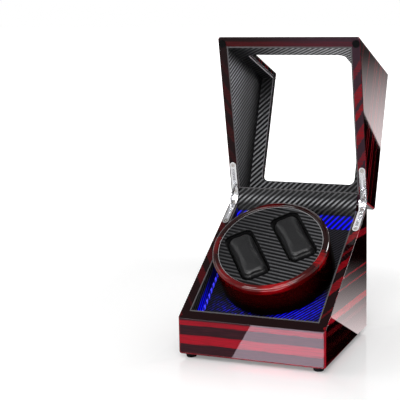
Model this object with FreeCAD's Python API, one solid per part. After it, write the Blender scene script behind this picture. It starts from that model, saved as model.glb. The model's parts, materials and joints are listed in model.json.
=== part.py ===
import FreeCAD, Part
import math
import os

from FreeCAD import Placement, Rotation, Vector

# Watch winder box: a lacquered wooden case cut on a slope into a base and a windowed lid, with two
# stay hinges, and a motor-driven turntable that carries two watch cushions.
# Millimetres and degrees. X to the right, Y to the back, Z up. The origin is the middle of the
# footprint, on the plane that the rubber feet stand on. The lid is drawn open.

# Case: overall sizes, boards and the sloped seam between base and lid
box_width = 170.0
box_depth = 170.0
body_height = 186.0
foot_height = 5.0
board_thickness = 10.0
lining_thickness = 1.5
case_edge_radius = 3.0
rim_edge_radius = 0.8
seam_front_height = 42.0
seam_back_height = 147.5
seam_gap = 1.0
lid_open_angle = 111.0

# Feet and lid bumpers
foot_top_radius = 6.5
foot_bottom_radius = 5.5
foot_edge_radius = 0.8
foot_inset = 11.0
bumper_radius = 4.3
bumper_front_inset = 8.8
bumper_recess = 0.8
bumper_standoff = 0.7

# Window: one opening that wraps from the lid's front over its top, glazed with two flat panes
window_half_width = 59.0
front_rail_height = 34.0
top_rail_depth = 27.0
window_corner_radius = 8.0
window_edge_radius = 1.5
pane_thickness = 2.0
pane_lap = 4.0
seal_size = 1.2

# Deck: the sloped floor of the base, with a gap round it for the lights
table_tilt = 35.0
deck_center_y = 10.2
deck_drop = 24.1
deck_thickness = 6.0
deck_lining_thickness = 1.2
deck_edge_gap = 3.5
deck_floor_gap = 2.0
cleat_size = 8.0
light_thickness = 1.5
light_height = 5.0
light_below_deck = 1.0

# Turntable, in its own frame: z is the height above the deck along the spindle
table_turn = 35.0
face_height = 46.0
face_radius = 60.0
face_thickness = 3.0
ring_width = 7.0
ring_height = 10.0
ring_rise = 2.0
ring_round = 4.2
ring_under_round = 1.6
ring_inner_round = 1.5
drum_radius = 66.5
drum_wall = 3.0
drum_bottom = 4.0
slot_offset = 28.0
slot_corner_radius = 9.0
slot_edge_radius = 1.0
well_wall = 1.5
well_floor_gap = 5.0
carrier_bottom = 5.0
carrier_thickness = 4.0
carrier_boss_radius = 9.0

# Cushions: crowned forms that stand in the wells
cushion_width = 30.0
cushion_length = 66.0
cushion_crown = 4.0
cushion_corner_radius = 8.0
cushion_draw_in = 0.9
cushion_seat_gap = 0.3
cushion_side_gap = 1.75
cushion_end_gap = 5.0
# Outline up the cushion: share of its height, and how far the outline is drawn in there
cushion_profile = ((0.0, 2.6), (0.12, 0.5), (0.5, 0.0), (0.82, 0.5), (0.95, 2.8), (1.0, 6.0))

# Spindle, bush and belt drive under the deck
spindle_radius = 4.0
bush_radius = 8.0
bush_flange_radius = 12.0
bush_flange_height = 3.0
bush_tail = 1.0
driven_belt_radius = 28.0
motor_belt_radius = 6.0
belt_radius = 1.2
belt_gap = 0.3
belt_depth = 14.0
pulley_width = 6.4
pulley_lip = 2.0
pulley_groove_flare = 0.3
motor_offset = 45.0
motor_shaft_radius = 1.5
motor_shaft_seat = 10.0
motor_shaft_end_gap = 1.0
gearbox_radius = 12.5
gearbox_length = 18.0
gearbox_boss_radius = 4.0
motor_radius = 12.0
motor_length = 20.0
motor_edge_radius = 1.5
bracket_thickness = 2.0
bracket_gap = 0.8
bracket_width = 32.0
bracket_post_offset = 20.0
bracket_post_radius = 4.0

# Stay hinges, one in each side's rim, measured from the hinge axis along the rim
leaf_width = 7.5
leaf_thickness = 4.0
leaf_heel = 2.8
leaf_end = 4.0
knuckle_radius = 2.6
knuckle_length = 2.6
knuckle_gap = 0.15
knuckle_clearance = 0.4
knuckle_web_lap = 1.0
hinge_pin_radius = 1.2
stay_pivot_reach = 17.0
stay_pivot_depth = 2.5
stay_eye_radius = 2.2
stay_thickness = 1.3
stay_side_gap = 0.1
stay_slot_gap = 0.3
stay_clearance = 0.4
stay_pin_radius = 0.9
stay_pin_inset = 0.55
trough_wall = 0.6
hinge_screw_place = 8.4
hinge_screw_margin = 1.9

# Countersunk screws of the hinges and the control plate, and pan-head screws of the motor bracket
screw_head_radius = 2.5
screw_head_height = 1.3
screw_radius = 1.2
screw_length = 8.0
screw_recess_width = 0.6
screw_recess_length = 2.6
screw_recess_depth = 0.6
bracket_screw_bite = 4.0

# Controls on the outside of the back panel
plate_width = 68.0
plate_height = 26.0
plate_thickness = 2.0
plate_corner_radius = 4.0
plate_center_height = 55.0
plate_screw_inset = 4.5
control_edge_radius = 0.5
knob_x = -18.0
knob_radius = 8.0
knob_length = 10.5
knob_edge_radius = 1.0
knob_skirt = 2.0
knob_gap = 0.4
knob_shaft_radius = 3.0
knob_shaft_bite = 9.0
knob_shaft_end_gap = 0.6
knob_flute_radius = 1.2
knob_flute_count = 16
knob_mark_width = 1.2
knob_mark_depth = 0.6
knob_mark_start = 2.0
switch_bush_radius = 3.6
switch_body_size = 16.0
switch_body_depth = 12.0
rocker_x = 6.0
rocker_half_width = 3.7
rocker_half_length = 5.6
rocker_rise = 2.5
rocker_dip = 0.8
rocker_depth = 4.0
rocker_pivot_rise = 1.0
rocker_tilt = 9.0
rocker_side_gap = 0.3
rocker_end_gap = 1.0
rocker_stub_radius = 0.8
rocker_stub_end_gap = 0.4
rocker_wall = 1.2
rocker_bezel = 1.5
jack_x = 24.0
jack_radius = 4.4
jack_flange_radius = 6.0
jack_flange_height = 1.5
jack_bore_radius = 2.8
jack_bore_depth = 9.5
jack_pin_radius = 1.0
jack_pin_recess = 1.0
jack_length = 15.0
board_width = 64.0
board_height = 32.0
circuit_thickness = 1.6
chip_half_width = 6.0
chip_half_height = 5.0
chip_thickness = 2.0
header_x = 18.0
header_z = -9.0
header_half_width = 6.0
header_half_height = 3.0
header_depth = 6.0
capacitor_x = 20.0
capacitor_z = 6.0
capacitor_radius = 4.0
capacitor_length = 9.0

# Fits: running clearance of shafts and pins, and the glue or slip gap of round pieces
running_gap = 0.05
slip_gap = 0.1

# How far a cutting tool stands proud of the face it cuts, and how near an edge is to where it is sought
overcut = 1.0
edge_tolerance = 0.001

# Values that follow from the sizes above
half_width = box_width / 2
half_depth = box_depth / 2
inner_x = half_width - board_thickness
inner_y = half_depth - board_thickness
lined_x = inner_x - lining_thickness
lined_y = inner_y - lining_thickness
deck_x = lined_x - deck_edge_gap
deck_y = lined_y - deck_edge_gap
body_top = foot_height + body_height
floor_top = foot_height + board_thickness
ceiling = body_top - board_thickness
lined_ceiling = ceiling - lining_thickness
seam_rise = seam_back_height - seam_front_height
seam_slope = math.degrees(math.atan2(seam_rise, box_depth))
rim_length = math.hypot(seam_rise, box_depth)
rim_offset = seam_gap / 2
window_bottom = foot_height + seam_front_height + front_rail_height
window_back = half_depth - top_rail_depth
slot_width = cushion_width + 2 * cushion_side_gap
slot_length = cushion_length + 2 * cushion_end_gap
carrier_top = carrier_bottom + carrier_thickness
well_floor = carrier_top + well_floor_gap
deck_bottom = -(deck_lining_thickness + deck_thickness)
bracket_top = -(belt_depth + pulley_width / 2 + bracket_gap)
gearbox_top = bracket_top - bracket_thickness
plate_z = foot_height + plate_center_height
plate_face = half_depth + plate_thickness
beyond = 4 * (box_width + box_depth + body_height)

X_AXIS = Vector(1, 0, 0)
Y_AXIS = Vector(0, 1, 0)
Z_AXIS = Vector(0, 0, 1)
hinge_point = Vector(0, half_depth, foot_height + seam_back_height)
deck_tangent = math.tan(math.radians(table_tilt))
seam_at_spindle = hinge_point.z + (deck_center_y - half_depth) * seam_rise / box_depth
deck_cosine = math.cos(math.radians(table_tilt))
deck_fall = (deck_y + deck_center_y) * deck_tangent - deck_bottom / deck_cosine
deck_lowest_center = floor_top + deck_floor_gap + deck_fall
deck_center = Vector(0, deck_center_y, max(seam_at_spindle - deck_drop, deck_lowest_center))

# Frames: the rim, with z square to the seam; the deck, with z along the spindle; the turned table
RIM = Placement(hinge_point, Rotation(X_AXIS, seam_slope))
DECK = Placement(deck_center, Rotation(X_AXIS, table_tilt))
TABLE = DECK.multiply(Placement(Vector(), Rotation(Z_AXIS, table_turn)))
LID_OPEN = Placement(Vector(), Rotation(X_AXIS, -lid_open_angle), hinge_point)


# Shapes that several pieces use
def box(x0, x1, y0, y1, z0, z1):
    return Part.makeBox(x1 - x0, y1 - y0, z1 - z0, Vector(x0, y0, z0))


def cylinder(radius, z0, z1, x=0, y=0):
    return Part.makeCylinder(radius, z1 - z0, Vector(x, y, z0))


def tube(outer, inner, z0, z1):
    return cylinder(outer, z0, z1).cut(cylinder(inner, z0, z1))


def rod_x(radius, x0, x1, y, z):
    return Part.makeCylinder(radius, x1 - x0, Vector(x0, y, z), X_AXIS)


def rod_y(radius, y0, y1, x, z):
    return Part.makeCylinder(radius, y1 - y0, Vector(x, y0, z), Y_AXIS)


def prism_x(points, x0, x1):
    """Extrude a closed outline of (y, z) points from x0 to x1."""
    corners = [Vector(x0, y, z) for y, z in points]
    return Part.Face(Part.makePolygon(corners + corners[:1])).extrude(Vector(x1 - x0, 0, 0))


def rounded_block(half_x, half_y, radius, z0, z1):
    """A block about the z axis with its four upright edges rounded."""
    block = box(-half_x, half_x, -half_y, half_y, z0, z1)
    upright = [edge for edge in block.Edges if edge.BoundBox.ZLength > z1 - z0 - edge_tolerance]
    return block.makeFillet(radius, upright)


def placed(shape, placement):
    moved = shape.copy()
    moved.Placement = placement.multiply(moved.Placement)
    return moved


def shifted(shape, x=0, y=0, z=0):
    return placed(shape, Placement(Vector(x, y, z), Rotation()))


def group(shapes):
    """One shape that holds every solid of the shapes given, or the solid itself where it is alone."""
    solids = [solid for shape in shapes for solid in shape.Solids]
    if len(solids) == 1:
        return solids[0]
    return Part.makeCompound(solids)


def mirrored_pair(shape):
    return [shape, shape.mirror(Vector(), X_AXIS)]


def cut_all(shape, tools):
    for tool in tools:
        shape = shape.cut(tool)
    return shape


def countersunk_screw(grow=0.0):
    """A screw that points down from z = 0, its head flush there; grow widens it to make its hole."""
    head = Part.makeCone(screw_radius + grow, screw_head_radius + grow, screw_head_height,
                         Vector(0, 0, -screw_head_height))
    screw = head.fuse(cylinder(screw_radius + grow, -screw_length - grow, -screw_head_height))
    if grow:
        return screw.removeSplitter()
    half_cross = screw_recess_length / 2
    half_blade = screw_recess_width / 2
    for half_x, half_y in ((half_cross, half_blade), (half_blade, half_cross)):
        screw = screw.cut(box(-half_x, half_x, -half_y, half_y, -screw_recess_depth, overcut))
    return screw.removeSplitter()


# Case: the closed block, its hollow and the two sides of the seam
def case_block():
    block = box(-half_width, half_width, -half_depth, half_depth, foot_height, body_top)
    return block.makeFillet(case_edge_radius, block.Edges)


def case_hollow():
    return box(-inner_x, inner_x, -inner_y, inner_y, floor_top, ceiling)


def below_seam():
    return placed(box(-beyond, beyond, -beyond, beyond, -beyond, -rim_offset), RIM)


def above_seam():
    return placed(box(-beyond, beyond, -beyond, beyond, rim_offset, beyond), RIM)


def round_rim(shell, rim_z):
    """Round the outer edge of a half case where it meets the seam."""
    to_rim = RIM.inverse()
    edges = []
    for edge in shell.Edges:
        heights = [to_rim.multVec(corner.Point).z for corner in edge.Vertexes]
        on_rim = all(abs(height - rim_z) < edge_tolerance for height in heights)
        middle = edge.CenterOfMass
        outside = abs(middle.x) > inner_x + edge_tolerance or abs(middle.y) > inner_y + edge_tolerance
        if on_rim and outside:
            edges.append(edge)
    return shell.makeFillet(rim_edge_radius, edges)


# Stay hinges. The base's half is drawn below the seam about x = 0, and the lid's half mirrors it.
leaf_x = half_width - board_thickness / 2
leaf_top = -rim_offset
leaf_bottom = leaf_top - leaf_thickness
stay_knee_reach = 2 * stay_pivot_reach
stay_lean = math.radians(lid_open_angle - 90) + math.atan2(stay_pivot_depth, stay_pivot_reach)
stay_edge = stay_pivot_depth * math.tan(stay_lean) + stay_eye_radius / math.cos(stay_lean)
slot_near = stay_pivot_reach - stay_edge - stay_clearance
slot_far = stay_knee_reach + stay_eye_radius + stay_clearance
slot_floor = -(stay_pivot_depth + stay_eye_radius + stay_clearance)
stay_slot_width = 2 * (stay_side_gap + stay_thickness + stay_slot_gap)
stay_pin_length = leaf_width - 2 * stay_pin_inset
far_screw_place = slot_far + hinge_screw_margin + screw_head_radius
hinge_screw_places = (hinge_screw_place, far_screw_place)
leaf_length = far_screw_place + leaf_end


def leaf_blank(heel, top):
    """The bar of a leaf: straight sides and a round end, from its heel by the knuckles to its tip."""
    half = leaf_width / 2
    tip = half - leaf_length
    bar = box(-half, half, tip, heel, leaf_bottom, top)
    return bar.fuse(cylinder(half, leaf_bottom, top, y=tip)).removeSplitter()


def stay_slot(grow, floor, top):
    """The room that a folded stay takes in a leaf."""
    half = stay_slot_width / 2 + grow
    return box(-half, half, -slot_far - grow, grow - slot_near, floor - grow, top)


def stay_trough():
    """The pressed trough under a leaf that holds the folded stay."""
    return stay_slot(trough_wall, slot_floor, leaf_top)


def leaf_screws(grow=0.0):
    return [shifted(countersunk_screw(grow), y=-place, z=leaf_top) for place in hinge_screw_places]


def stay_pin(grow=0.0):
    half = stay_pin_length / 2
    return rod_x(stay_pin_radius + grow, -half, half, -stay_pivot_reach, -stay_pivot_depth)


def leaf_mortise():
    """What the rim loses for one leaf, its trough and its screws."""
    pocket = leaf_blank(knuckle_radius + leaf_thickness, rim_offset)
    return [pocket, stay_trough()] + leaf_screws(running_gap)


def knuckle_spans():
    """The stretches of the hinge axis that the base's and the lid's knuckles take."""
    middle = knuckle_length / 2
    outer = middle + knuckle_gap
    half = leaf_width / 2
    return [(-half, -outer), (outer, half)], [(-middle, middle)]


def leaf(own_spans, other_spans):
    """A leaf with a trough for the stay and its knuckles on the axis y = z = 0, below the seam."""
    shape = leaf_blank(-leaf_heel, leaf_top).fuse(stay_trough())
    for x0, x1 in own_spans:
        web = box(x0, x1, -leaf_heel - knuckle_web_lap, 0, -knuckle_radius, leaf_top)
        shape = shape.fuse(rod_x(knuckle_radius, x0, x1, 0, 0)).fuse(web)
    for x0, x1 in other_spans:
        sweep = rod_x(knuckle_radius + knuckle_clearance, x0 - knuckle_gap, x1 + knuckle_gap, 0, 0)
        shape = shape.cut(sweep)
    bore = rod_x(hinge_pin_radius + running_gap, -leaf_width, leaf_width, 0, 0)
    folded_stay = stay_slot(0, slot_floor, rim_offset)
    tools = [bore, folded_stay, stay_pin(running_gap)] + leaf_screws(running_gap)
    return cut_all(shape, tools).removeSplitter()


def in_base(shapes):
    """Copies of a base hinge piece in the left and right rims."""
    return [placed(shifted(shape, x=side * leaf_x), RIM) for side in (-1, 1) for shape in shapes]


def in_closed_lid(shapes):
    """The same for the lid, mirrored to the upper side of the seam, with the lid shut."""
    return in_base([shape.mirror(Vector(), Z_AXIS) for shape in shapes])


def stay_points():
    """Pivots of the stay in the rim's (y, z), lid open: on the base, on the lid and at the knee."""
    turn = math.radians(-lid_open_angle)
    base_y, base_z = -stay_pivot_reach, -stay_pivot_depth
    lid_y = base_y * math.cos(turn) + base_z * math.sin(turn)
    lid_z = base_y * math.sin(turn) - base_z * math.cos(turn)
    return (base_y, base_z), (lid_y, lid_z), (base_y + lid_y, base_z + lid_z)


def stay_link(start, end, x0, x1):
    """A flat link with a round eye at each end."""
    along = Vector(0, end[0] - start[0], end[1] - start[1]).normalize()
    side = Vector(0, -along.z, along.y) * stay_eye_radius
    corners = [(point[0] + sign * side.y, point[1] + sign * side.z)
               for point, sign in ((start, 1), (end, 1), (end, -1), (start, -1))]
    link = prism_x(corners, x0, x1)
    for y, z in (start, end):
        link = link.fuse(rod_x(stay_eye_radius, x0, x1, y, z))
    for y, z in (start, end):
        link = link.cut(rod_x(stay_pin_radius + running_gap, x0, x1, y, z))
    return link.removeSplitter()


def stay_pieces():
    """The lower link turns on the base's pin, the upper one on the lid's, and a rivet joins them."""
    on_base, on_lid, knee = stay_points()
    inner = stay_side_gap
    outer = stay_side_gap + stay_thickness
    lower = stay_link(on_base, knee, -outer, -inner)
    rivet = rod_x(stay_pin_radius, -outer, outer, *knee)
    rivet_seat = rod_x(stay_pin_radius + running_gap, inner, outer, *knee)
    upper = stay_link(on_lid, knee, inner, outer).fuse(rivet_seat)
    upper = upper.fuse(rivet).removeSplitter()
    nodes = {}
    for side, name in ((-1, "left"), (1, "right")):
        for link, level in ((lower, "lower"), (upper, "upper")):
            nodes[f"stay_{level}_{name}"] = group([placed(shifted(link, x=side * leaf_x), RIM)])
    return nodes


def hinge_pieces():
    base_spans, lid_spans = knuckle_spans()
    pin = rod_x(hinge_pin_radius, -leaf_width / 2, leaf_width / 2, 0, 0)
    nodes = {
        "base_hinge_leaves": group(in_base([leaf(base_spans, lid_spans)])),
        "hinge_pins": group(in_base([pin])),
        "stay_base_pins": group(in_base([stay_pin()])),
        "base_hinge_screws": group(in_base(leaf_screws())),
    }
    lid_nodes = {
        "lid_hinge_leaves": group(in_closed_lid([leaf(lid_spans, base_spans)])),
        "stay_lid_pins": group(in_closed_lid([stay_pin()])),
        "lid_hinge_screws": group(in_closed_lid(leaf_screws())),
    }
    nodes.update(stay_pieces())
    return nodes, lid_nodes


# Controls in the back panel, drawn where they stand
def control_screw_places():
    x = plate_width / 2 - plate_screw_inset
    z = plate_height / 2 - plate_screw_inset
    return [(sx * x, plate_z + sz * z) for sx in (-1, 1) for sz in (-1, 1)]


def facing_back(shape, x, y, z):
    """Turn a shape that points up +Z to point to the back, +Y, and set its origin at a point."""
    return placed(shape, Placement(Vector(x, y, z), Rotation(X_AXIS, -90)))


def plate_screws(grow=0.0):
    return [facing_back(countersunk_screw(grow), x, plate_face, z) for x, z in control_screw_places()]


def rocker_well(grow_x, grow_z, y0, y1):
    half_x = rocker_half_width + rocker_side_gap + grow_x
    half_z = rocker_half_length + rocker_end_gap + grow_z
    return box(rocker_x - half_x, rocker_x + half_x, y0, y1, plate_z - half_z, plate_z + half_z)


def control_holes():
    """The holes that the controls need through the plate and the back panel."""
    y0, y1 = inner_y - overcut, plate_face + overcut
    knob_hole = rod_y(switch_bush_radius + slip_gap, y0, y1, knob_x, plate_z)
    jack_hole = rod_y(jack_radius + slip_gap, y0, y1, jack_x, plate_z)
    rocker_hole = rocker_well(rocker_wall, rocker_wall, y0, y1)
    return [knob_hole, jack_hole, rocker_hole] + plate_screws(running_gap)


def mode_knob():
    """A fluted cap with a pointer groove, on a shaft that runs in the switch's bush."""
    cap_bottom = knob_gap
    cap = cylinder(knob_radius, cap_bottom, knob_length)
    top_edges = [edge for edge in cap.Edges if edge.CenterOfMass.z > knob_length - edge_tolerance]
    cap = cap.makeFillet(knob_edge_radius, top_edges)
    flute_place = knob_radius + knob_flute_radius / 2
    for step in range(knob_flute_count):
        turn = math.radians(360 * (step + 0.5) / knob_flute_count)
        flute = cylinder(knob_flute_radius, cap_bottom + knob_skirt, knob_length + overcut,
                         flute_place * math.cos(turn), flute_place * math.sin(turn))
        cap = cap.cut(flute)
    half_mark = knob_mark_width / 2
    mark = box(-half_mark, half_mark, knob_mark_start, knob_radius + overcut,
               knob_length - knob_mark_depth, knob_length + overcut)
    shaft_depth = plate_thickness + board_thickness + knob_shaft_bite
    knob = cap.cut(mark).fuse(cylinder(knob_shaft_radius, -shaft_depth, cap_bottom))
    return facing_back(knob.removeSplitter(), knob_x, plate_face, plate_z)


def mode_switch():
    """The rotary switch: a body behind the panel and a bush through it that carries the knob's shaft."""
    bush_length = plate_thickness + board_thickness
    half = switch_body_size / 2
    body = box(-half, half, -half, half, -bush_length - switch_body_depth, -bush_length)
    body = body.fuse(cylinder(switch_bush_radius, -bush_length, 0))
    bore_depth = bush_length + knob_shaft_bite + knob_shaft_end_gap
    body = body.cut(cylinder(knob_shaft_radius + running_gap, -bore_depth, overcut))
    return facing_back(body.removeSplitter(), knob_x, plate_face, plate_z)


def light_switch():
    """A rocker on two stubs in a bezelled housing, resting on its lower end."""
    back = inner_y
    front = plate_face + rocker_bezel
    pivot_y = plate_face - rocker_pivot_rise
    shell = rocker_well(rocker_wall, rocker_wall, back, front)
    bezel = rocker_well(rocker_wall + rocker_bezel, rocker_wall + rocker_bezel, plate_face, front)
    bezel_edges = [edge for edge in bezel.Edges if edge.CenterOfMass.y > front - edge_tolerance]
    shell = shell.fuse(bezel.makeFillet(control_edge_radius, bezel_edges)).removeSplitter()
    shell = shell.cut(rocker_well(0, 0, pivot_y - rocker_depth - rocker_end_gap, front + overcut))
    reach = rocker_half_width + rocker_side_gap + rocker_wall
    hole = rod_x(rocker_stub_radius + running_gap, rocker_x - reach, rocker_x + reach, pivot_y, plate_z)
    housing = shell.cut(hole)
    outline = [
        (-rocker_depth, -rocker_half_length), (rocker_rise, -rocker_half_length),
        (rocker_rise - rocker_dip, 0),
        (rocker_rise, rocker_half_length), (-rocker_depth, rocker_half_length),
    ]
    rocker = prism_x([(pivot_y + y, plate_z + z) for y, z in outline],
                     rocker_x - rocker_half_width, rocker_x + rocker_half_width)
    stub = reach - rocker_stub_end_gap
    rocker = rocker.fuse(rod_x(rocker_stub_radius, rocker_x - stub, rocker_x + stub, pivot_y, plate_z))
    tilt = Placement(Vector(), Rotation(X_AXIS, rocker_tilt), Vector(rocker_x, pivot_y, plate_z))
    return housing, placed(rocker.removeSplitter(), tilt)


def dc_jack():
    """A barrel socket with its centre pin."""
    jack = cylinder(jack_radius, -jack_length, jack_flange_height)
    jack = jack.fuse(cylinder(jack_flange_radius, 0, jack_flange_height))
    bore_floor = jack_flange_height - jack_bore_depth
    jack = jack.cut(cylinder(jack_bore_radius, bore_floor, jack_flange_height))
    jack = jack.fuse(cylinder(jack_pin_radius, bore_floor, jack_flange_height - jack_pin_recess))
    return facing_back(jack.removeSplitter(), jack_x, plate_face, plate_z)


def control_board():
    """The circuit board on the back of the rotary switch, with a chip, a capacitor and a plug header."""
    front = inner_y - switch_body_depth
    half_x = board_width / 2
    half_z = board_height / 2
    board = box(-half_x, half_x, front - circuit_thickness, front, plate_z - half_z, plate_z + half_z)
    inside = front - circuit_thickness
    chip = box(-chip_half_width, chip_half_width, inside - chip_thickness, inside,
               plate_z - chip_half_height, plate_z + chip_half_height)
    header_middle = plate_z + header_z
    header = box(header_x - header_half_width, header_x + header_half_width, inside - header_depth, inside,
                 header_middle - header_half_height, header_middle + header_half_height)
    capacitor_end = inside - capacitor_length
    capacitor = rod_y(capacitor_radius, capacitor_end, inside, capacitor_x, plate_z + capacitor_z)
    return board.fuse(chip).fuse(header).fuse(capacitor).removeSplitter()


def control_pieces():
    plate = rounded_block(plate_width / 2, plate_height / 2, plate_corner_radius, -plate_thickness, 0)
    plate_edges = [edge for edge in plate.Edges if edge.CenterOfMass.z > -edge_tolerance]
    plate = plate.makeFillet(control_edge_radius, plate_edges)
    housing, rocker = light_switch()
    return {
        "control_plate": group([cut_all(facing_back(plate, 0, plate_face, plate_z), control_holes())]),
        "control_plate_screws": group(plate_screws()),
        "mode_switch": mode_switch(),
        "mode_knob": mode_knob(),
        "light_switch_housing": housing,
        "light_rocker": rocker,
        "dc_jack": dc_jack(),
        "control_board": control_board(),
    }


# Base: five boards, linings, deck, lights and feet
def deck_z(y, height=0.0):
    """The level of a plane parallel to the deck, at its height along the spindle."""
    return deck_center.z + (y - deck_center.y) * deck_tangent + height / deck_cosine


def sloped_slab(x0, x1, y0, y1, bottom, top):
    """A slab parallel to the deck with upright ends, from one height along the spindle to another."""
    lower = [(y, deck_z(y, bottom)) for y in (y0, y1)]
    upper = [(y, deck_z(y, top)) for y in (y1, y0)]
    return prism_x(lower + upper, x0, x1)


def base_boards():
    shell = round_rim(case_block().cut(case_hollow()).common(below_seam()), -rim_offset)
    shell = cut_all(shell, in_base(leaf_mortise()) + control_holes())
    spans = {
        "base_left_panel": box(-beyond, -inner_x, -beyond, beyond, -beyond, beyond),
        "base_right_panel": box(inner_x, beyond, -beyond, beyond, -beyond, beyond),
        "base_front_panel": box(-inner_x, inner_x, -beyond, -inner_y, -beyond, beyond),
        "base_back_panel": box(-inner_x, inner_x, inner_y, beyond, -beyond, beyond),
        "base_floor_board": box(-inner_x, inner_x, -inner_y, inner_y, -beyond, floor_top),
    }
    return {name: group([shell.common(span)]) for name, span in spans.items()}


def base_linings():
    """Leatherette on thin board, from below the deck up to the rim."""
    low = deck_bottom - cleat_size
    room = box(-inner_x, inner_x, -inner_y, inner_y, floor_top, beyond).common(below_seam())
    side = sloped_slab(lined_x, inner_x, -inner_y, inner_y, low, beyond)
    front = box(-lined_x, lined_x, -inner_y, -lined_y, floor_top, beyond)
    back = box(-lined_x, lined_x, lined_y, inner_y, deck_z(lined_y, low), beyond)
    return group([piece.common(room) for piece in mirrored_pair(side) + [front, back]])


def light_strips():
    """Strips stuck to the four walls in the gap round the deck, just below its surface."""
    top = -light_below_deck
    bottom = top - light_height
    inner_edge_x = lined_x - light_thickness
    inner_edge_y = lined_y - light_thickness
    side = sloped_slab(inner_edge_x, lined_x, -inner_edge_y, inner_edge_y, bottom, top)
    ends = []
    for y0, y1, at in ((-lined_y, -inner_edge_y, -deck_y), (inner_edge_y, lined_y, deck_y)):
        ends.append(box(-lined_x, lined_x, y0, y1, deck_z(at, bottom), deck_z(at, top)))
    return group(mirrored_pair(side) + ends)


def rubber_feet():
    foot = Part.makeCone(foot_bottom_radius, foot_top_radius, foot_height)
    bottom_edges = [edge for edge in foot.Edges if edge.CenterOfMass.z < edge_tolerance]
    foot = foot.makeFillet(foot_edge_radius, bottom_edges)
    x = half_width - foot_inset
    y = half_depth - foot_inset
    return group([shifted(foot, sx * x, sy * y) for sx in (-1, 1) for sy in (-1, 1)])


def deck_pieces():
    bush_hole = placed(cylinder(bush_radius + slip_gap, deck_bottom - overcut, overcut), DECK)
    flange_hole = placed(cylinder(bush_flange_radius + slip_gap, deck_bottom - overcut, overcut), DECK)
    tools = [bush_hole] + bracket_screws(running_gap)
    panel = sloped_slab(-deck_x, deck_x, -deck_y, deck_y, deck_bottom, -deck_lining_thickness)
    lining = sloped_slab(-deck_x, deck_x, -deck_y, deck_y, -deck_lining_thickness, 0)
    cleat_bottom = deck_bottom - cleat_size
    cleat = sloped_slab(lined_x - cleat_size, lined_x, -deck_y, deck_y, cleat_bottom, deck_bottom)
    cleat = cleat.common(box(-beyond, beyond, -beyond, beyond, floor_top, beyond))
    return {
        "deck_panel": group([cut_all(panel, tools)]),
        "deck_lining": group([lining.cut(flange_hole)]),
        "deck_cleats": group(mirrored_pair(cleat)),
    }


# Lid: boards round the window, panes, seals, linings and bumpers, drawn shut and then opened
def window_cut(inset, depth):
    """The opening through front and top, drawn in by inset and reaching depth below the outer faces."""
    half = window_half_width - inset
    radius = window_corner_radius - inset
    low = window_bottom + inset
    rear = window_back - inset
    front_start = -half_depth - overcut
    top_end = body_top + overcut
    front = rounded_block(half, beyond, radius, 0, depth + overcut)
    front = placed(front, Placement(Vector(0, front_start, low + beyond), Rotation(X_AXIS, -90)))
    front = front.common(box(-beyond, beyond, -beyond, beyond, -beyond, top_end))
    top = shifted(rounded_block(half, beyond, radius, body_top - depth, top_end), y=rear - beyond)
    top = top.common(box(-beyond, beyond, front_start, beyond, -beyond, beyond))
    return front.fuse(top).removeSplitter()


def round_window(shell):
    """Round the opening's edges on the lid's outside."""
    half = window_half_width + edge_tolerance
    low = window_bottom - edge_tolerance
    rear = window_back + edge_tolerance
    front_skin = case_edge_radius - half_depth + edge_tolerance
    top_skin = body_top - case_edge_radius - edge_tolerance
    edges = []
    for edge in shell.Edges:
        middle = edge.CenterOfMass
        bounds = edge.BoundBox
        in_window = abs(middle.x) < half and middle.z > low and middle.y < rear
        on_skin = bounds.YMax < front_skin or bounds.ZMin > top_skin
        if in_window and on_skin:
            edges.append(edge)
    return shell.makeFillet(window_edge_radius, edges)


def pane_rebates():
    half = window_half_width + pane_lap
    pane_front = -inner_y - pane_thickness
    front = box(-half, half, pane_front, -inner_y, window_bottom - pane_lap, ceiling)
    top = box(-half, half, pane_front, window_back + pane_lap, ceiling, ceiling + pane_thickness)
    return front, top


def lid_bumper(grow=0.0):
    y = bumper_front_inset - rim_length
    disc = cylinder(bumper_radius + grow, rim_offset - bumper_standoff, rim_offset + bumper_recess, y=y)
    return placed(shifted(disc, x=leaf_x), RIM)


def lid_boards():
    shell = case_block().cut(case_hollow()).common(above_seam())
    shell = round_rim(shell, rim_offset)
    shell = round_window(shell.cut(window_cut(0, board_thickness)))
    shell = cut_all(shell, pane_rebates())
    shell = cut_all(shell, in_closed_lid(leaf_mortise()) + mirrored_pair(lid_bumper(slip_gap)))
    rail_top = window_bottom + window_corner_radius
    rail_front = window_back - window_corner_radius
    spans = {
        "lid_left_panel": box(-beyond, -inner_x, -beyond, beyond, -beyond, beyond),
        "lid_right_panel": box(inner_x, beyond, -beyond, beyond, -beyond, beyond),
        "lid_front_rail": box(-inner_x, inner_x, -beyond, -inner_y, -beyond, rail_top),
        "lid_front_stiles": box(-inner_x, inner_x, -beyond, -inner_y, rail_top, ceiling),
        "lid_top_stiles": box(-inner_x, inner_x, -beyond, rail_front, ceiling, beyond),
        "lid_top_rail": box(-inner_x, inner_x, rail_front, beyond, ceiling, beyond),
        "lid_back_panel": box(-inner_x, inner_x, inner_y, beyond, -beyond, ceiling),
    }
    return {name: group([shell.common(span)]) for name, span in spans.items()}


def lid_linings():
    room = box(-inner_x, inner_x, -inner_y, inner_y, -beyond, ceiling).common(above_seam())
    opening = window_cut(0, board_thickness + lining_thickness + overcut)
    side = box(lined_x, inner_x, -inner_y, inner_y, -beyond, ceiling)
    front = box(-lined_x, lined_x, -inner_y, -lined_y, -beyond, lined_ceiling).cut(opening)
    top = box(-lined_x, lined_x, -inner_y, inner_y, lined_ceiling, ceiling).cut(opening)
    back = box(-lined_x, lined_x, lined_y, inner_y, -beyond, lined_ceiling)
    return {
        "lid_side_linings": group([piece.common(room) for piece in mirrored_pair(side)]),
        "lid_frame_linings": group([piece.common(room) for piece in (front, top, back)]),
    }


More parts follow.
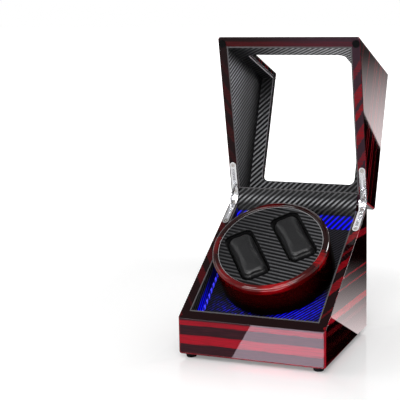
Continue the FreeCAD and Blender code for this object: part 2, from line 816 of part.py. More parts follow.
def pane_seals():
    """A black bead round the panes on the outside, and one along the joint between them on the inside."""
    pane_front = -inner_y - pane_thickness
    pane_top = ceiling + pane_thickness
    ring = window_cut(0, board_thickness).cut(window_cut(seal_size, board_thickness + overcut))
    level = box(-beyond, beyond, pane_front - seal_size, window_back, pane_top, pane_top + seal_size)
    upright = box(-beyond, beyond, pane_front - seal_size, pane_front, -beyond, pane_top + seal_size)
    joint = box(-window_half_width, window_half_width, -inner_y, seal_size - inner_y,
                ceiling - seal_size, ceiling)
    return group([ring.common(level.fuse(upright)).removeSplitter(), joint])


def lid_pieces():
    front_pane, top_pane = pane_rebates()
    nodes = lid_boards()
    nodes.update(lid_linings())
    nodes["front_pane"] = front_pane
    nodes["top_pane"] = top_pane
    nodes["pane_seals"] = pane_seals()
    nodes["lid_bumpers"] = group(mirrored_pair(lid_bumper()))
    return nodes


# Turntable, in the table's own frame
def table_slots(grow, bottom, top):
    half_x = slot_width / 2 + grow
    half_y = slot_length / 2 + grow
    slot = rounded_block(half_x, half_y, slot_corner_radius + grow, bottom, top)
    return [shifted(slot, x=side * slot_offset) for side in (-1, 1)]


def turntable_ring():
    top = face_height + ring_rise
    ring = tube(face_radius + ring_width, face_radius + slip_gap, top - ring_height, top)
    rim = face_radius + ring_width
    circles = [edge for edge in ring.Edges if edge.Closed]
    outer = [edge for edge in circles if abs(edge.BoundBox.XMax - rim) < edge_tolerance]
    ring = ring.makeFillet(ring_round, [edge for edge in outer if edge.BoundBox.ZMin > top - ring_round])
    bottom = top - ring_height
    under = [edge for edge in ring.Edges if edge.Closed and edge.BoundBox.ZMax < bottom + edge_tolerance
             and abs(edge.BoundBox.XMax - rim) < edge_tolerance]
    ring = ring.makeFillet(ring_under_round, under)
    circles = [edge for edge in ring.Edges if edge.Closed and edge.BoundBox.ZMin > top - edge_tolerance]
    inner = [edge for edge in circles if edge.BoundBox.XMax < face_radius + 2 * slip_gap]
    return ring.makeFillet(ring_inner_round, inner)


def turntable_face():
    bottom = face_height - face_thickness
    face = cut_all(cylinder(face_radius, bottom, face_height), table_slots(0, bottom, face_height))
    top_edges = [edge for edge in face.Edges if edge.BoundBox.ZMin > face_height - edge_tolerance]
    rims = [edge for edge in top_edges if edge.BoundBox.XLength < face_radius]
    return face.makeFillet(slot_edge_radius, rims)


def cushion_wells():
    """Two tubs that hang from the face under its slots."""
    top = face_height - face_thickness
    outside = table_slots(well_wall, well_floor, top)
    inside = table_slots(0, well_floor + well_wall, top)
    return group([outer.cut(inner) for outer, inner in zip(outside, inside)])


def cushion_outline(half_x, half_y, z):
    """A rounded rectangle, anticlockwise from its right side, its sides drawn in between the corners."""
    share = half_x / (cushion_width / 2)
    radius = cushion_corner_radius * share
    bend = radius * (1 - math.sqrt(0.5))
    side_x = half_x - cushion_draw_in * share
    end_y = half_y - cushion_draw_in * share * cushion_width / cushion_length
    flat_x, flat_y = half_x - radius, half_y - radius
    bulge_x, bulge_y = half_x - bend, half_y - bend
    points = [
        (half_x, -flat_y), (side_x, 0), (half_x, flat_y), (bulge_x, bulge_y),
        (flat_x, half_y), (0, end_y), (-flat_x, half_y), (-bulge_x, bulge_y),
        (-half_x, flat_y), (-side_x, 0), (-half_x, -flat_y), (-bulge_x, -bulge_y),
        (-flat_x, -half_y), (0, -end_y), (flat_x, -half_y), (bulge_x, -bulge_y),
        (half_x, -flat_y),
    ]
    corners = [Vector(x, y, z) for x, y in points]
    arcs = [Part.Arc(*corners[start:start + 3]).toShape() for start in range(0, len(points) - 1, 2)]
    return Part.Wire(arcs)


def cushion():
    """A pillow: it swells from its base, narrows to the slot and crowns above the face."""
    bottom = well_floor + well_wall + cushion_seat_gap
    top = face_height + cushion_crown
    half_x, half_y = cushion_width / 2, cushion_length / 2
    outlines = [cushion_outline(half_x - inset, half_y - inset, bottom + share * (top - bottom))
                for share, inset in cushion_profile]
    return Part.makeLoft(outlines, True, False)


def turntable_pieces():
    drum_inside = drum_radius - drum_wall
    carrier = cylinder(drum_inside - slip_gap, carrier_bottom, carrier_top)
    boss_bottom = bush_flange_height + cushion_seat_gap
    carrier = carrier.fuse(cylinder(carrier_boss_radius, boss_bottom, carrier_bottom)).removeSplitter()
    carrier = carrier.cut(cylinder(spindle_radius + running_gap, 0, carrier_top))
    drum_top = face_height + ring_rise - ring_height
    nodes = {
        "turntable_drum": tube(drum_radius, drum_inside, drum_bottom, drum_top),
        "turntable_ring": turntable_ring(),
        "turntable_face": turntable_face(),
        "cushion_wells": cushion_wells(),
        "turntable_carrier": carrier,
        "turntable_spindle": cylinder(spindle_radius, -belt_depth - pulley_width, carrier_top),
        "driven_pulley": pulley(driven_belt_radius, spindle_radius),
        "cushion_left": shifted(cushion(), x=-slot_offset),
        "cushion_right": shifted(cushion(), x=slot_offset),
    }
    return {name: group([placed(shape, TABLE)]) for name, shape in nodes.items()}


# Drive under the deck, in the deck's frame
def pulley(belt_line, shaft):
    """A grooved wheel: the belt's centre runs at belt_line, clear of the groove by the belt gap."""
    half = pulley_width / 2
    rim = belt_line + pulley_lip
    root = belt_line - belt_radius - belt_gap
    root_half = belt_radius + belt_gap
    rim_half = root_half + pulley_groove_flare * (rim - root)
    bore = shaft + running_gap
    outline = [(bore, -half), (rim, -half), (rim, -rim_half), (root, -root_half), (root, root_half),
               (rim, rim_half), (rim, half), (bore, half)]
    corners = [Vector(radius, 0, z - belt_depth) for radius, z in outline]
    face = Part.Face(Part.makePolygon(corners + corners[:1]))
    return face.revolve(Vector(), Z_AXIS, 360)


def drive_belt():
    """A round belt: two straight runs and an arc round each pulley."""
    lean = math.asin((driven_belt_radius - motor_belt_radius) / motor_offset)
    run = motor_offset * math.cos(lean)
    touch_x = driven_belt_radius * math.sin(lean)
    touch_y = driven_belt_radius * math.cos(lean)
    pieces = []
    for side in (-1, 1):
        start = Vector(touch_x, side * touch_y, -belt_depth)
        along = Vector(math.cos(lean), -side * math.sin(lean), 0)
        pieces.append(Part.makeCylinder(belt_radius, run, start, along))
    half_wrap = math.degrees(math.pi / 2 - lean)
    for x, radius, first, sweep in ((0, driven_belt_radius, half_wrap, 360 - 2 * half_wrap),
                                    (motor_offset, motor_belt_radius, -half_wrap, 2 * half_wrap)):
        section = Part.Face(Part.Wire(Part.makeCircle(belt_radius, Vector(radius, 0, 0), Y_AXIS)))
        arc = section.revolve(Vector(), Z_AXIS, sweep)
        pieces.append(placed(arc, Placement(Vector(x, 0, -belt_depth), Rotation(Z_AXIS, first))))
    return pieces[0].multiFuse(pieces[1:]).removeSplitter()


def bracket_screws(grow=0.0):
    """Pan-head screws up through the bracket's posts into the deck."""
    tip = deck_bottom + bracket_screw_bite
    screw = cylinder(screw_radius + grow, gearbox_top, tip + grow)
    if not grow:
        head = cylinder(screw_head_radius, gearbox_top - screw_head_height, gearbox_top)
        screw = screw.fuse(head).removeSplitter()
    return [placed(shifted(screw, x=motor_offset, y=side * bracket_post_offset), DECK) for side in (-1, 1)]


def motor_bracket():
    half_x = bracket_width / 2
    half_y = bracket_post_offset + bracket_post_radius
    plate = rounded_block(half_x, half_y, bracket_post_radius, gearbox_top, bracket_top)
    for side in (-1, 1):
        post = cylinder(bracket_post_radius, gearbox_top, deck_bottom, y=side * bracket_post_offset)
        plate = plate.fuse(post)
    boss_hole = cylinder(gearbox_boss_radius + slip_gap, gearbox_top, bracket_top)
    plate = shifted(plate.removeSplitter().cut(boss_hole), x=motor_offset)
    return cut_all(placed(plate, DECK), bracket_screws(running_gap))


def drive_pieces():
    bush_bottom = deck_bottom - bush_tail
    bush = cylinder(bush_radius, bush_bottom, bush_flange_height)
    bush = bush.fuse(cylinder(bush_flange_radius, -deck_lining_thickness, bush_flange_height))
    bush = bush.removeSplitter()
    bush = bush.cut(cylinder(spindle_radius + running_gap, bush_bottom, bush_flange_height))
    gearbox_bottom = gearbox_top - gearbox_length
    gearbox = cylinder(gearbox_radius, gearbox_bottom, gearbox_top)
    gearbox = gearbox.fuse(cylinder(gearbox_boss_radius, gearbox_top, bracket_top)).removeSplitter()
    shaft_bottom = gearbox_top - motor_shaft_seat
    shaft_top = pulley_width / 2 - belt_depth
    shaft_hole_bottom = shaft_bottom - motor_shaft_end_gap
    motor_bottom = gearbox_bottom - motor_length
    motor = cylinder(motor_radius, motor_bottom, gearbox_bottom)
    end_edges = [edge for edge in motor.Edges if edge.CenterOfMass.z < motor_bottom + edge_tolerance]
    shaft_hole = cylinder(motor_shaft_radius + running_gap, shaft_hole_bottom, bracket_top)
    at_motor = {
        "motor_gearbox": gearbox.cut(shaft_hole),
        "motor_can": motor.makeFillet(motor_edge_radius, end_edges),
        "motor_shaft": cylinder(motor_shaft_radius, shaft_bottom, shaft_top),
        "motor_pulley": pulley(motor_belt_radius, motor_shaft_radius),
    }
    nodes = {"spindle_bush": bush, "drive_belt": drive_belt()}
    for name, shape in at_motor.items():
        nodes[name] = shifted(shape, x=motor_offset)
    nodes = {name: group([placed(shape, DECK)]) for name, shape in nodes.items()}
    nodes["motor_bracket"] = group([motor_bracket()])
    nodes["bracket_screws"] = group(bracket_screws())
    return nodes


def all_pieces():
    nodes = base_boards()
    nodes["base_wall_linings"] = base_linings()
    nodes["led_strip"] = light_strips()
    nodes["rubber_feet"] = rubber_feet()
    nodes.update(deck_pieces())
    nodes.update(drive_pieces())
    nodes.update(turntable_pieces())
    nodes.update(control_pieces())
    base_hinges, lid_hinges = hinge_pieces()
    nodes.update(base_hinges)
    shut_lid = lid_pieces()
    shut_lid.update(lid_hinges)
    for name, shape in shut_lid.items():
        nodes[name] = group([placed(shape, LID_OPEN)])
    return nodes


os.makedirs("parts", exist_ok=True)
for node, shape in all_pieces().items():
    print(node, len(shape.Solids), round(shape.Volume, 1), shape.isValid())
    shape.exportStep(f"parts/{node}.step")
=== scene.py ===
import json
import math

import bmesh
import bpy
import numpy as np
from mathutils import Matrix, Vector


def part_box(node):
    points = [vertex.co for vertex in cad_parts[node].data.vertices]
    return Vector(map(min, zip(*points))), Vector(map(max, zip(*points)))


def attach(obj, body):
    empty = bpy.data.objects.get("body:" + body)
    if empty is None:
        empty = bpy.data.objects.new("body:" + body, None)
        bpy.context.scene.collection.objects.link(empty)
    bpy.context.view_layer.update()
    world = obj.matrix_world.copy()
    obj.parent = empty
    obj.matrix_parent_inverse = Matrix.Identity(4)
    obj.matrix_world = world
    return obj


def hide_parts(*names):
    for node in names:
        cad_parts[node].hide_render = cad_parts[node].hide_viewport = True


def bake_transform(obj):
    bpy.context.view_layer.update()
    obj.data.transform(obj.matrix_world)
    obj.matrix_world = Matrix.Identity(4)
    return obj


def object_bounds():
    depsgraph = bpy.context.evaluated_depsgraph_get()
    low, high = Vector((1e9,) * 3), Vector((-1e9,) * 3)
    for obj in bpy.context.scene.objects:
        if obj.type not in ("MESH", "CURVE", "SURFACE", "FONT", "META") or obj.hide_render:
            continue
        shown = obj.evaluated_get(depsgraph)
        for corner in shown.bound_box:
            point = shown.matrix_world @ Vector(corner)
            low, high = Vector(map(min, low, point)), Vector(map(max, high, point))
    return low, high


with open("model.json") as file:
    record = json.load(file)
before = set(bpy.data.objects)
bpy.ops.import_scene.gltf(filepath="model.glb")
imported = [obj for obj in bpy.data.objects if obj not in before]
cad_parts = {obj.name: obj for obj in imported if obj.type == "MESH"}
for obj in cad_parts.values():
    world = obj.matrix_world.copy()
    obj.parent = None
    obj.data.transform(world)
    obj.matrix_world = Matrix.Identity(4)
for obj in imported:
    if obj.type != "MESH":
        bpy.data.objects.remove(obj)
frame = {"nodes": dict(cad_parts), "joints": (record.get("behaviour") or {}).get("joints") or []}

nodes = frame["nodes"]
joints = {joint["name"]: joint for joint in frame["joints"]}
cad_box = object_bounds()

# Base case boards. Four 10 mm boards glued into a box and cut on a slope, their outer edges rounded.
# Faced with a near-black veneer whose ragged red streaks run level round the case, under thick clear
# lacquer that is flatted and polished; the sloped rim shows the streaks cut across at a slant.
PER_METRE = 1000.0
MILLIMETRES = (PER_METRE, PER_METRE, PER_METRE)
STREAK_EDGE = 0.7


class Graph:
    """A node tree, with short ways to add nodes to it."""

    def __init__(self, tree):
        self.tree = tree

    def feed(self, socket, value):
        """Links a socket to a node's output, or gives it a plain value."""
        if isinstance(value, bpy.types.NodeSocket):
            self.tree.links.new(value, socket)
        else:
            socket.default_value = value

    def node(self, kind, *values, **settings):
        """Adds a node and feeds its inputs in order; None leaves one as it is."""
        made = self.tree.nodes.new("ShaderNode" + kind)
        for name, value in settings.items():
            setattr(made, name, value)
        for socket, value in zip(made.inputs, values):
            if value is not None:
                self.feed(socket, value)
        return made

    def math(self, operation, *values):
        """One sum: ADD, MULTIPLY, ABSOLUTE and so on."""
        return self.node("Math", *values, operation=operation).outputs[0]


class Finish(Graph):
    """A material with a Principled shader. Lengths in it are in millimetres."""

    def __init__(self, name, **sockets):
        self.material = bpy.data.materials.new(name)
        self.material.use_nodes = True
        super().__init__(self.material.node_tree)
        self.shader = self.tree.nodes["Principled BSDF"]
        self.set(**sockets)

    def set(self, **sockets):
        """Feeds the shader's sockets by name, with an underscore for each space."""
        for name, value in sockets.items():
            self.feed(self.shader.inputs[name.replace("_", " ")], value)

    def step(self, value, low, high):
        """Rises smoothly from 0 at low to 1 at high, or falls where low is the larger."""
        made = self.node("MapRange", value, low, high, interpolation_type="SMOOTHSTEP")
        return made.outputs[0]

    def mix(self, share, first, second):
        """A colour between two."""
        made = self.node("Mix", share, data_type="RGBA")
        self.feed(made.inputs[6], first)
        self.feed(made.inputs[7], second)
        return made.outputs[2]

    def place(self, turn=Matrix.Identity(3), center=Vector()):
        """The point on the piece about a center, turned by the inverse of a rotation."""
        back = turn.inverted()
        shift = back @ center * -PER_METRE
        coords = self.node("TexCoord").outputs["Object"]
        return self.node("Mapping", coords, shift, back.to_euler(), MILLIMETRES).outputs[0]

    def unturned(self, turn, center):
        """The point where it lies when the piece is turned back about a center."""
        turned = self.place(turn, center)
        return self.node("VectorMath", turned, center * PER_METRE, operation="ADD").outputs[0]

    def facing(self, turn=Matrix.Identity(3)):
        """The way the surface faces, turned in the same way."""
        coords = self.node("TexCoord").outputs["Normal"]
        turned = turn.inverted().to_euler()
        return self.node("Mapping", coords, None, turned, vector_type="VECTOR").outputs[0]

    def between(self, share, low, high):
        """A number that goes from low to high as a share goes from 0 to 1."""
        return self.math("MULTIPLY_ADD", share, high - low, low)

    def dimmed(self, value, share, loss):
        """A value that is whole where a share is 1, and lacks the loss where it is 0."""
        return self.math("MULTIPLY", value, self.between(share, 1.0 - loss, 1.0))

    def parts(self, vector):
        """The x, y and z of a vector."""
        return self.node("SeparateXYZ", vector).outputs[:]

    def along(self, vector, direction):
        """How far a vector reaches along a direction."""
        return self.node("VectorMath", vector, direction, operation="DOT_PRODUCT").outputs["Value"]

    def radius(self, x, y):
        """How far a point lies from the middle in x and y."""
        flat = self.node("CombineXYZ", x, y).outputs[0]
        return self.node("VectorMath", flat, operation="LENGTH").outputs["Value"]

    def noise(self, point, stretch, detail=2.0):
        """Noise from 0 to 1, with stretch features to a millimetre along x, y and z."""
        scaled = self.node("Mapping", point, None, None, stretch).outputs[0]
        made = self.node("TexNoise", scaled)
        made.inputs["Scale"].default_value = 1.0
        made.inputs["Detail"].default_value = detail
        return made.outputs[0]

    def bands(self, level, streaks, reach=200.0):
        """Streaks across a height from 0 to reach: each has a middle, a half width and a strength."""
        ramp = self.node("ValToRGB", self.math("DIVIDE", level, reach))
        stops = ramp.color_ramp.elements
        stops[0].color = stops[1].color = (0.0, 0.0, 0.0, 1.0)
        for middle, half, strength in streaks:
            wide = half + STREAK_EDGE
            for offset, value in ((-wide, 0.0), (-half, strength), (half, strength), (wide, 0.0)):
                stop = stops.new((middle + offset) / reach)
                stop.color = (value, value, value, 1.0)
        return ramp.outputs["Color"]

    def bump(self, height, depth):
        """Raises the surface by a height from 0 to 1 times a depth in millimetres."""
        made = self.node("Bump")
        made.inputs["Distance"].default_value = depth / PER_METRE
        self.feed(made.inputs["Height"], height)
        self.set(Normal=made.outputs[0])


def mottled(name, grain, detail, colors, roughness, depth=0.0, **sockets):
    """A plain finish that noise, of so many features to a millimetre, takes from its first colour and
    roughness to its second, and raises by a depth in millimetres."""
    finish = Finish(name, **sockets)
    mottle = finish.noise(finish.place(), (grain, grain, grain), detail)
    finish.set(Base_Color=finish.mix(mottle, *colors), Roughness=finish.between(mottle, *roughness))
    if depth:
        finish.bump(mottle, depth)
    return finish


def wear(finish, *names):
    """Gives the named CAD pieces a finish in place of their plain one."""
    for name in names:
        nodes[name].data.materials.clear()
        nodes[name].data.materials.append(finish.material)


FOOT_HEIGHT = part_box("rubber_feet")[1].z * PER_METRE
CASE_HALF = cad_box[1][0] * PER_METRE
SHUT_HEIGHT = 191.0
CASE_MIDDLE_HEIGHT = (SHUT_HEIGHT + FOOT_HEIGHT) / 2.0
CASE_HALF_HEIGHT = (SHUT_HEIGHT - FOOT_HEIGHT) / 2.0
EDGE_BAND = 2.6
EDGE_BLEND = 0.9
EDGE_RED = 0.55
DRIFT_GRAIN = (0.009, 0.009, 0.03)
DRIFT = 3.0
FIBRE_GRAIN = (0.035, 0.035, 1.1)
FRAY = 3.6
RIM_FRAY = 8.0
GRAIN_BAND = (0.30, 0.62)
GRAIN_LOSS = 0.45
RIM_GRAIN_LOSS = 0.6
WORN_BAND = (0.35, 0.75)
LACQUER_ROUGHNESS = (0.25, 0.50)
FACING_SIDE = (0.55, 0.75)
FACING_UP = (0.80, 0.95)
FACING_RIM = (0.965, 0.985)
SIDE_RISE = 0.045
RIM_INNER_LINE = (-81.0, -79.0)
SEAM_SLOPE = math.radians(31.82)
RIM_SLANT = 1.55
RIM_REACH = 220.0
RIM_SPAN = (-60.0, 60.0)
MITRE = (0.15, -0.15)
RIM_DARK = (0.010, 0.0016, 0.0022, 1.0)
RIM_MAUVE_REFLECTION = (0.038, 0.015, 0.025, 1.0)
SIDE_DARK_SHADED = (0.0045, 0.0005, 0.0006, 1.0)
SIDE_BROWN_SHADED = (0.007, 0.0009, 0.0009, 1.0)
FRONT_DARK_WITH_REFLECTION = (0.026, 0.0060, 0.011, 1.0)
FRONT_BROWN_WITH_REFLECTION = (0.050, 0.0105, 0.016, 1.0)
RED_VENEER = (0.42, 0.0060, 0.019, 1.0)
SIDE_RED = (0.80, 0.018, 0.040, 1.0)
RIM_RED = (0.27, 0.0030, 0.0085, 1.0)
WHITE = (1.0, 1.0, 1.0, 1.0)
TOP_STREAKS = ((62.0, 1.6, 0.8), (68.0, 0.5, 0.6), (75.5, 2.2, 0.9))


def streaked_lacquer(
    name, turn, center, rim_sign, front_streaks, side_streaks, rim_streaks, front_rim, left_rim, right_ground_and_reflection
):
    """Veneer streaks by height on the upright faces, by distance from the middle on top, and at a slant on
    the rim: streak = bands(height + ragged noise). The front's ground is a lighter, mauve copy, a painted
    reflection, and the sides' a darker copy, painted shade. Front rim is the strength of the streak along
    it, left rim the strength of those across the left one, and the last argument the colour that the rim
    goes to on the right: a mauve painted reflection on the lid, the plain dark ground on the base."""
    coat = Finish(name, Coat_Weight=1.0, Coat_Roughness=0.02, Coat_IOR=1.25, IOR=1.0)
    point = coat.unturned(turn, center)
    facing = coat.facing(turn)
    x, y, z = coat.parts(point)
    face_x, _, face_z = coat.parts(facing)
    across = coat.math("ABSOLUTE", x)

    drift = coat.noise(point, DRIFT_GRAIN)
    fibre = coat.noise(point, FIBRE_GRAIN, detail=5.0)
    ragged = coat.math("MULTIPLY_ADD", drift, DRIFT, -DRIFT / 2.0 - FOOT_HEIGHT)
    ragged = coat.math("ADD", ragged, coat.math("MULTIPLY_ADD", fibre, FRAY, -FRAY / 2.0))
    level = coat.math("ADD", z, ragged)
    front = coat.bands(level, front_streaks)
    side = coat.bands(coat.math("MULTIPLY_ADD", y, SIDE_RISE, level), side_streaks)
    sideways = coat.step(coat.math("ABSOLUTE", face_x), *FACING_SIDE)
    streak = coat.mix(sideways, front, side)
    top = coat.bands(coat.math("ADD", across, coat.math("ADD", ragged, FOOT_HEIGHT)), TOP_STREAKS)
    streak = coat.mix(coat.step(face_z, *FACING_UP), streak, top)

    spare_x = coat.math("SUBTRACT", across, CASE_HALF - EDGE_BAND)
    spare_y = coat.math("SUBTRACT", coat.math("ABSOLUTE", y), CASE_HALF - EDGE_BAND)
    height = coat.math("ABSOLUTE", coat.math("SUBTRACT", z, CASE_MIDDLE_HEIGHT))
    spare_z = coat.math("SUBTRACT", height, CASE_HALF_HEIGHT - EDGE_BAND)
    corner = coat.math("MINIMUM", spare_x, spare_y)
    corner = coat.math("MAXIMUM", corner, coat.math("MINIMUM", spare_x, spare_z))
    corner = coat.math("MAXIMUM", corner, coat.math("MINIMUM", spare_y, spare_z))
    edge = coat.math("MULTIPLY", coat.step(corner, 0.0, EDGE_BLEND), EDGE_RED)
    streak = coat.math("MAXIMUM", streak, edge)
    grain = coat.step(fibre, *GRAIN_BAND)
    streak = coat.dimmed(streak, grain, GRAIN_LOSS)

    rim_way = (0.0, -rim_sign * math.sin(SEAM_SLOPE), rim_sign * math.cos(SEAM_SLOPE))
    on_rim = coat.step(coat.along(facing, rim_way), *FACING_RIM)
    from_hinge = coat.math("DIVIDE", coat.math("SUBTRACT", CASE_HALF, y), math.cos(SEAM_SLOPE))
    slant = coat.math("MULTIPLY_ADD", across, rim_sign * RIM_SLANT, from_hinge)
    at_corner = rim_sign * RIM_SLANT * CASE_HALF
    spread = coat.math("MULTIPLY_ADD", fibre, RIM_FRAY, -RIM_FRAY / 2.0 - at_corner)
    slant = coat.math("ADD", slant, spread)
    patch = coat.bands(slant, rim_streaks, RIM_REACH)
    rightward = coat.step(x, *RIM_SPAN)
    patch = coat.dimmed(patch, rightward, 1.0 - left_rim)
    lengthwise = coat.step(coat.math("ADD", across, y), *MITRE)
    inner_half = coat.math("MULTIPLY", coat.step(y, *RIM_INNER_LINE), front_rim)
    patch = coat.mix(lengthwise, patch, inner_half)
    patch = coat.dimmed(patch, grain, RIM_GRAIN_LOSS)

    worn = coat.step(fibre, *WORN_BAND)
    # Painted light: the front's ground is a lighter, mauve copy that stands in for a reflection, and the
    # sides' a darker copy, painted shade.
    front_ground = coat.mix(worn, FRONT_DARK_WITH_REFLECTION, FRONT_BROWN_WITH_REFLECTION)
    ground = coat.mix(sideways, front_ground, coat.mix(worn, SIDE_DARK_SHADED, SIDE_BROWN_SHADED))
    upright = coat.mix(streak, ground, coat.mix(sideways, RED_VENEER, SIDE_RED))
    # On the rim the ground turns toward the right to the last argument's colour: on the lid a mauve painted
    # reflection, on the base the plain dark ground.
    rim = coat.mix(patch, coat.mix(rightward, RIM_DARK, right_ground_and_reflection), RIM_RED)
    coat.set(Base_Color=coat.mix(on_rim, upright, rim), Roughness=coat.between(fibre, *LACQUER_ROUGHNESS))
    return coat


HINGE = Vector(joints["lid_hinge"]["pos_m"])
UNTURNED = Matrix.Identity(3)
BASE_FRONT_STREAKS = (
    (1.0, 0.8, 0.5), (18.0, 4.6, 1.0), (36.6, 2.3, 0.85), (68.0, 2.0, 0.6), (84.0, 0.8, 0.5),
    (121.0, 6.0, 0.8),
)
BASE_SIDE_STREAKS = (
    (1.0, 0.8, 0.15), (17.0, 3.0, 0.02), (32.5, 2.2, 0.12), (46.0, 3.6, 0.70), (71.6, 0.6, 0.5),
    (83.0, 0.6, 0.5), (122.0, 3.5, 0.45),
)
BASE_RIM_STREAKS = (
    (14.0, 4.0, 0.6), (46.0, 7.0, 0.9), (70.0, 3.0, 0.5), (92.0, 7.0, 0.9), (124.0, 9.0, 1.0),
    (165.0, 2.0, 0.4), (194.0, 5.0, 1.0),
)
base_lacquer = streaked_lacquer(
    "base_lacquer", UNTURNED, HINGE, 1.0, BASE_FRONT_STREAKS, BASE_SIDE_STREAKS, BASE_RIM_STREAKS,
    front_rim=0.0, left_rim=0.25, right_ground_and_reflection=RIM_DARK,
)
wear(base_lacquer, "base_left_panel", "base_right_panel", "base_front_panel", "base_back_panel")

# Base floor board. A plain sheet of fibreboard, painted black, let into the bottom of the case.
# Only its underside and what is left open below the deck ever show it.
BOARD_BLACKS = ((0.006, 0.006, 0.006, 1.0), (0.020, 0.019, 0.018, 1.0))
board_paint = mottled(
    "board_paint", grain=1.1, detail=4.0, colors=BOARD_BLACKS, roughness=(0.60, 0.85), depth=0.08,
    Specular_IOR_Level=0.25,
)
wear(board_paint, "base_floor_board", "deck_panel", "deck_cleats")

# Rubber feet. Four moulded black rubber buttons, tapered and stuck under the corners of the base.
# Their skin is dull and faintly pebbled from the mould.
RUBBER_BLACKS = ((0.002, 0.002, 0.002, 1.0), (0.007, 0.007, 0.008, 1.0))
moulded_rubber = mottled(
    "moulded_rubber", grain=2.4, detail=3.0, colors=RUBBER_BLACKS, roughness=(0.45, 0.65), depth=0.05,
    Specular_IOR_Level=0.02,
)
wear(moulded_rubber, "rubber_feet")

# Base wall linings. Embossed black leatherette on thin card, glued to the inside of the four walls.
# Bold diagonal ribs run across it with their crests painted grey, a dim painted highlight; its cut edge
# shows as a thin line at the rim, and low on the walls the ribs glow blue, a painted glow that stands in
# for the light of the hidden light strips.
LINING_BLACK = (0.0035, 0.0035, 0.0042, 1.0)
# The crest grey is a painted highlight: it stands in for light caught on the embossed ribs.
LINING_CREST_HIGHLIGHT = (0.30, 0.30, 0.315, 1.0)
BASE_SHEEN = 0.30
CUT_EDGE = (0.11, 0.105, 0.11, 1.0)
LED_BLUE = (0.003, 0.003, 1.0, 1.0)
DECK_CENTER = Vector(joints["turntable_spin"]["pos_m"])
_, spindle_y, spindle_z = joints["turntable_spin"]["axis"]
DECK_TURN = Matrix.Rotation(math.atan2(-spindle_y, spindle_z), 3, "X")
WALL_PITCH = 4.8
WALL_RIB = 0.5
CREASE_GRAIN = (0.9, 0.9, 0.9)
CREASE_SHADE = (0.3, 1.5)
CREASE_ROUGHNESS = (0.36, 0.61)
CREASE_BUMP = 0.08
FACING_CUT = (0.4, 0.6)
WALL_GLOW = (13.5, 8.5)
BACK_WALL_GLOW = (17.0, 5.0)
BACK_WALL = (70.0, 73.0)
FRONT_RUN = (-10.0, -52.0)
SIDE_GLOW = 0.05
RIB_GLOW = (0.06, 1.21)


def ribbed(lining, phase, pitch, sharp=0.25):
    """Rounded ribs from 0 to 1: the upper part of a sine wave along the phase."""
    wave = lining.math("SINE", lining.math("MULTIPLY", phase, 2.0 * math.pi / pitch))
    return lining.step(wave, -sharp, 1.0)


def embossed(lining, point, rib, depth, crest_highlight=LINING_CREST_HIGHLIGHT, painted_sheen=1.0):
    """Colours and raises a lining by its ribs, with the fine crease of its skin. The crest colour is a
    painted highlight, and the last argument is a painted sheen: how strongly that highlight shows, from 0 to
    1."""
    crease = lining.noise(point, CREASE_GRAIN, detail=4.0)
    shade = lining.math("MULTIPLY", rib, lining.between(crease, *CREASE_SHADE))
    shade = lining.math("MULTIPLY", shade, painted_sheen)
    color = lining.mix(shade, LINING_BLACK, crest_highlight)
    lining.set(Roughness=lining.between(crease, *CREASE_ROUGHNESS), IOR=1.2)
    lining.bump(lining.math("MULTIPLY_ADD", crease, CREASE_BUMP, rib), depth)
    return color


def keep_glow(name):
    """Hides a glowing CAD piece from diffuse and mirror rays, so that its light falls on nothing else."""
    nodes[name].visible_diffuse = False
    nodes[name].visible_glossy = False


wall_lining = Finish("wall_lining")
point = wall_lining.place()
x, y, z = wall_lining.parts(point)
face_z = wall_lining.parts(wall_lining.facing())[2]
length = wall_lining.math("ADD", x, y)
phase = wall_lining.math("MULTIPLY", wall_lining.math("SUBTRACT", length, z), math.sqrt(0.5))
rib = ribbed(wall_lining, phase, WALL_PITCH)
above_deck = wall_lining.parts(wall_lining.place(DECK_TURN, DECK_CENTER))[2]
low = wall_lining.step(above_deck, *WALL_GLOW)
soft = wall_lining.step(above_deck, *BACK_WALL_GLOW)
at_back = wall_lining.step(y, *BACK_WALL)
lit = wall_lining.mix(at_back, low, soft)
# Painted sheen: the crest highlight is kept to a small share on these walls, and left out where the painted
# glow is.
bare = wall_lining.math("SUBTRACT", 1.0, lit)
painted_sheen = wall_lining.math("MULTIPLY", bare, BASE_SHEEN)
color = embossed(wall_lining, point, rib, WALL_RIB, painted_sheen=painted_sheen)
color = wall_lining.mix(wall_lining.step(face_z, *FACING_CUT), color, CUT_EDGE)
wall_lining.set(Base_Color=color)
# Painted glow: blue light painted into the ribs low on the walls, along the back and toward the front, in
# place of the strips' light.
toward_front = wall_lining.step(y, *FRONT_RUN)
reach = wall_lining.math("MAXIMUM", wall_lining.math("MAXIMUM", toward_front, at_back), SIDE_GLOW)
glow = wall_lining.math("MULTIPLY", lit, reach)
wall_lining.set(
    Emission_Color=LED_BLUE,
    Emission_Strength=wall_lining.math("MULTIPLY", glow, wall_lining.between(rib, *RIB_GLOW)),
)
wear(wall_lining, "base_wall_linings")
keep_glow("base_wall_linings")

# Light strips. Blue diodes on a white tape under a clear skin, one strip along each wall, set just
# below the surface of the deck; each diode shows as a slanted dash along the strip.
DIODE_PITCH = 6.8
DIODE_SLANT = 0.6
DIODE_EDGE = (-0.45, 0.75)
TAPE_BLUE = (0.0, 0.0, 0.10, 1.0)
DIODE_BLUE = (0.055, 0.055, 1.0, 1.0)
light_strip = Finish("light_strip", Base_Color=(0.02, 0.02, 0.20, 1.0), Roughness=0.35)
x, y, _ = light_strip.parts(light_strip.place())
run = light_strip.math("MULTIPLY_ADD", x, DIODE_SLANT, y)
wave = light_strip.math("SINE", light_strip.math("MULTIPLY", run, 2.0 * math.pi / DIODE_PITCH))
diode = light_strip.step(wave, *DIODE_EDGE)
light_strip.set(Emission_Color=light_strip.mix(diode, TAPE_BLUE, DIODE_BLUE), Emission_Strength=1.15)
wear(light_strip, "led_strip")
keep_glow("led_strip")

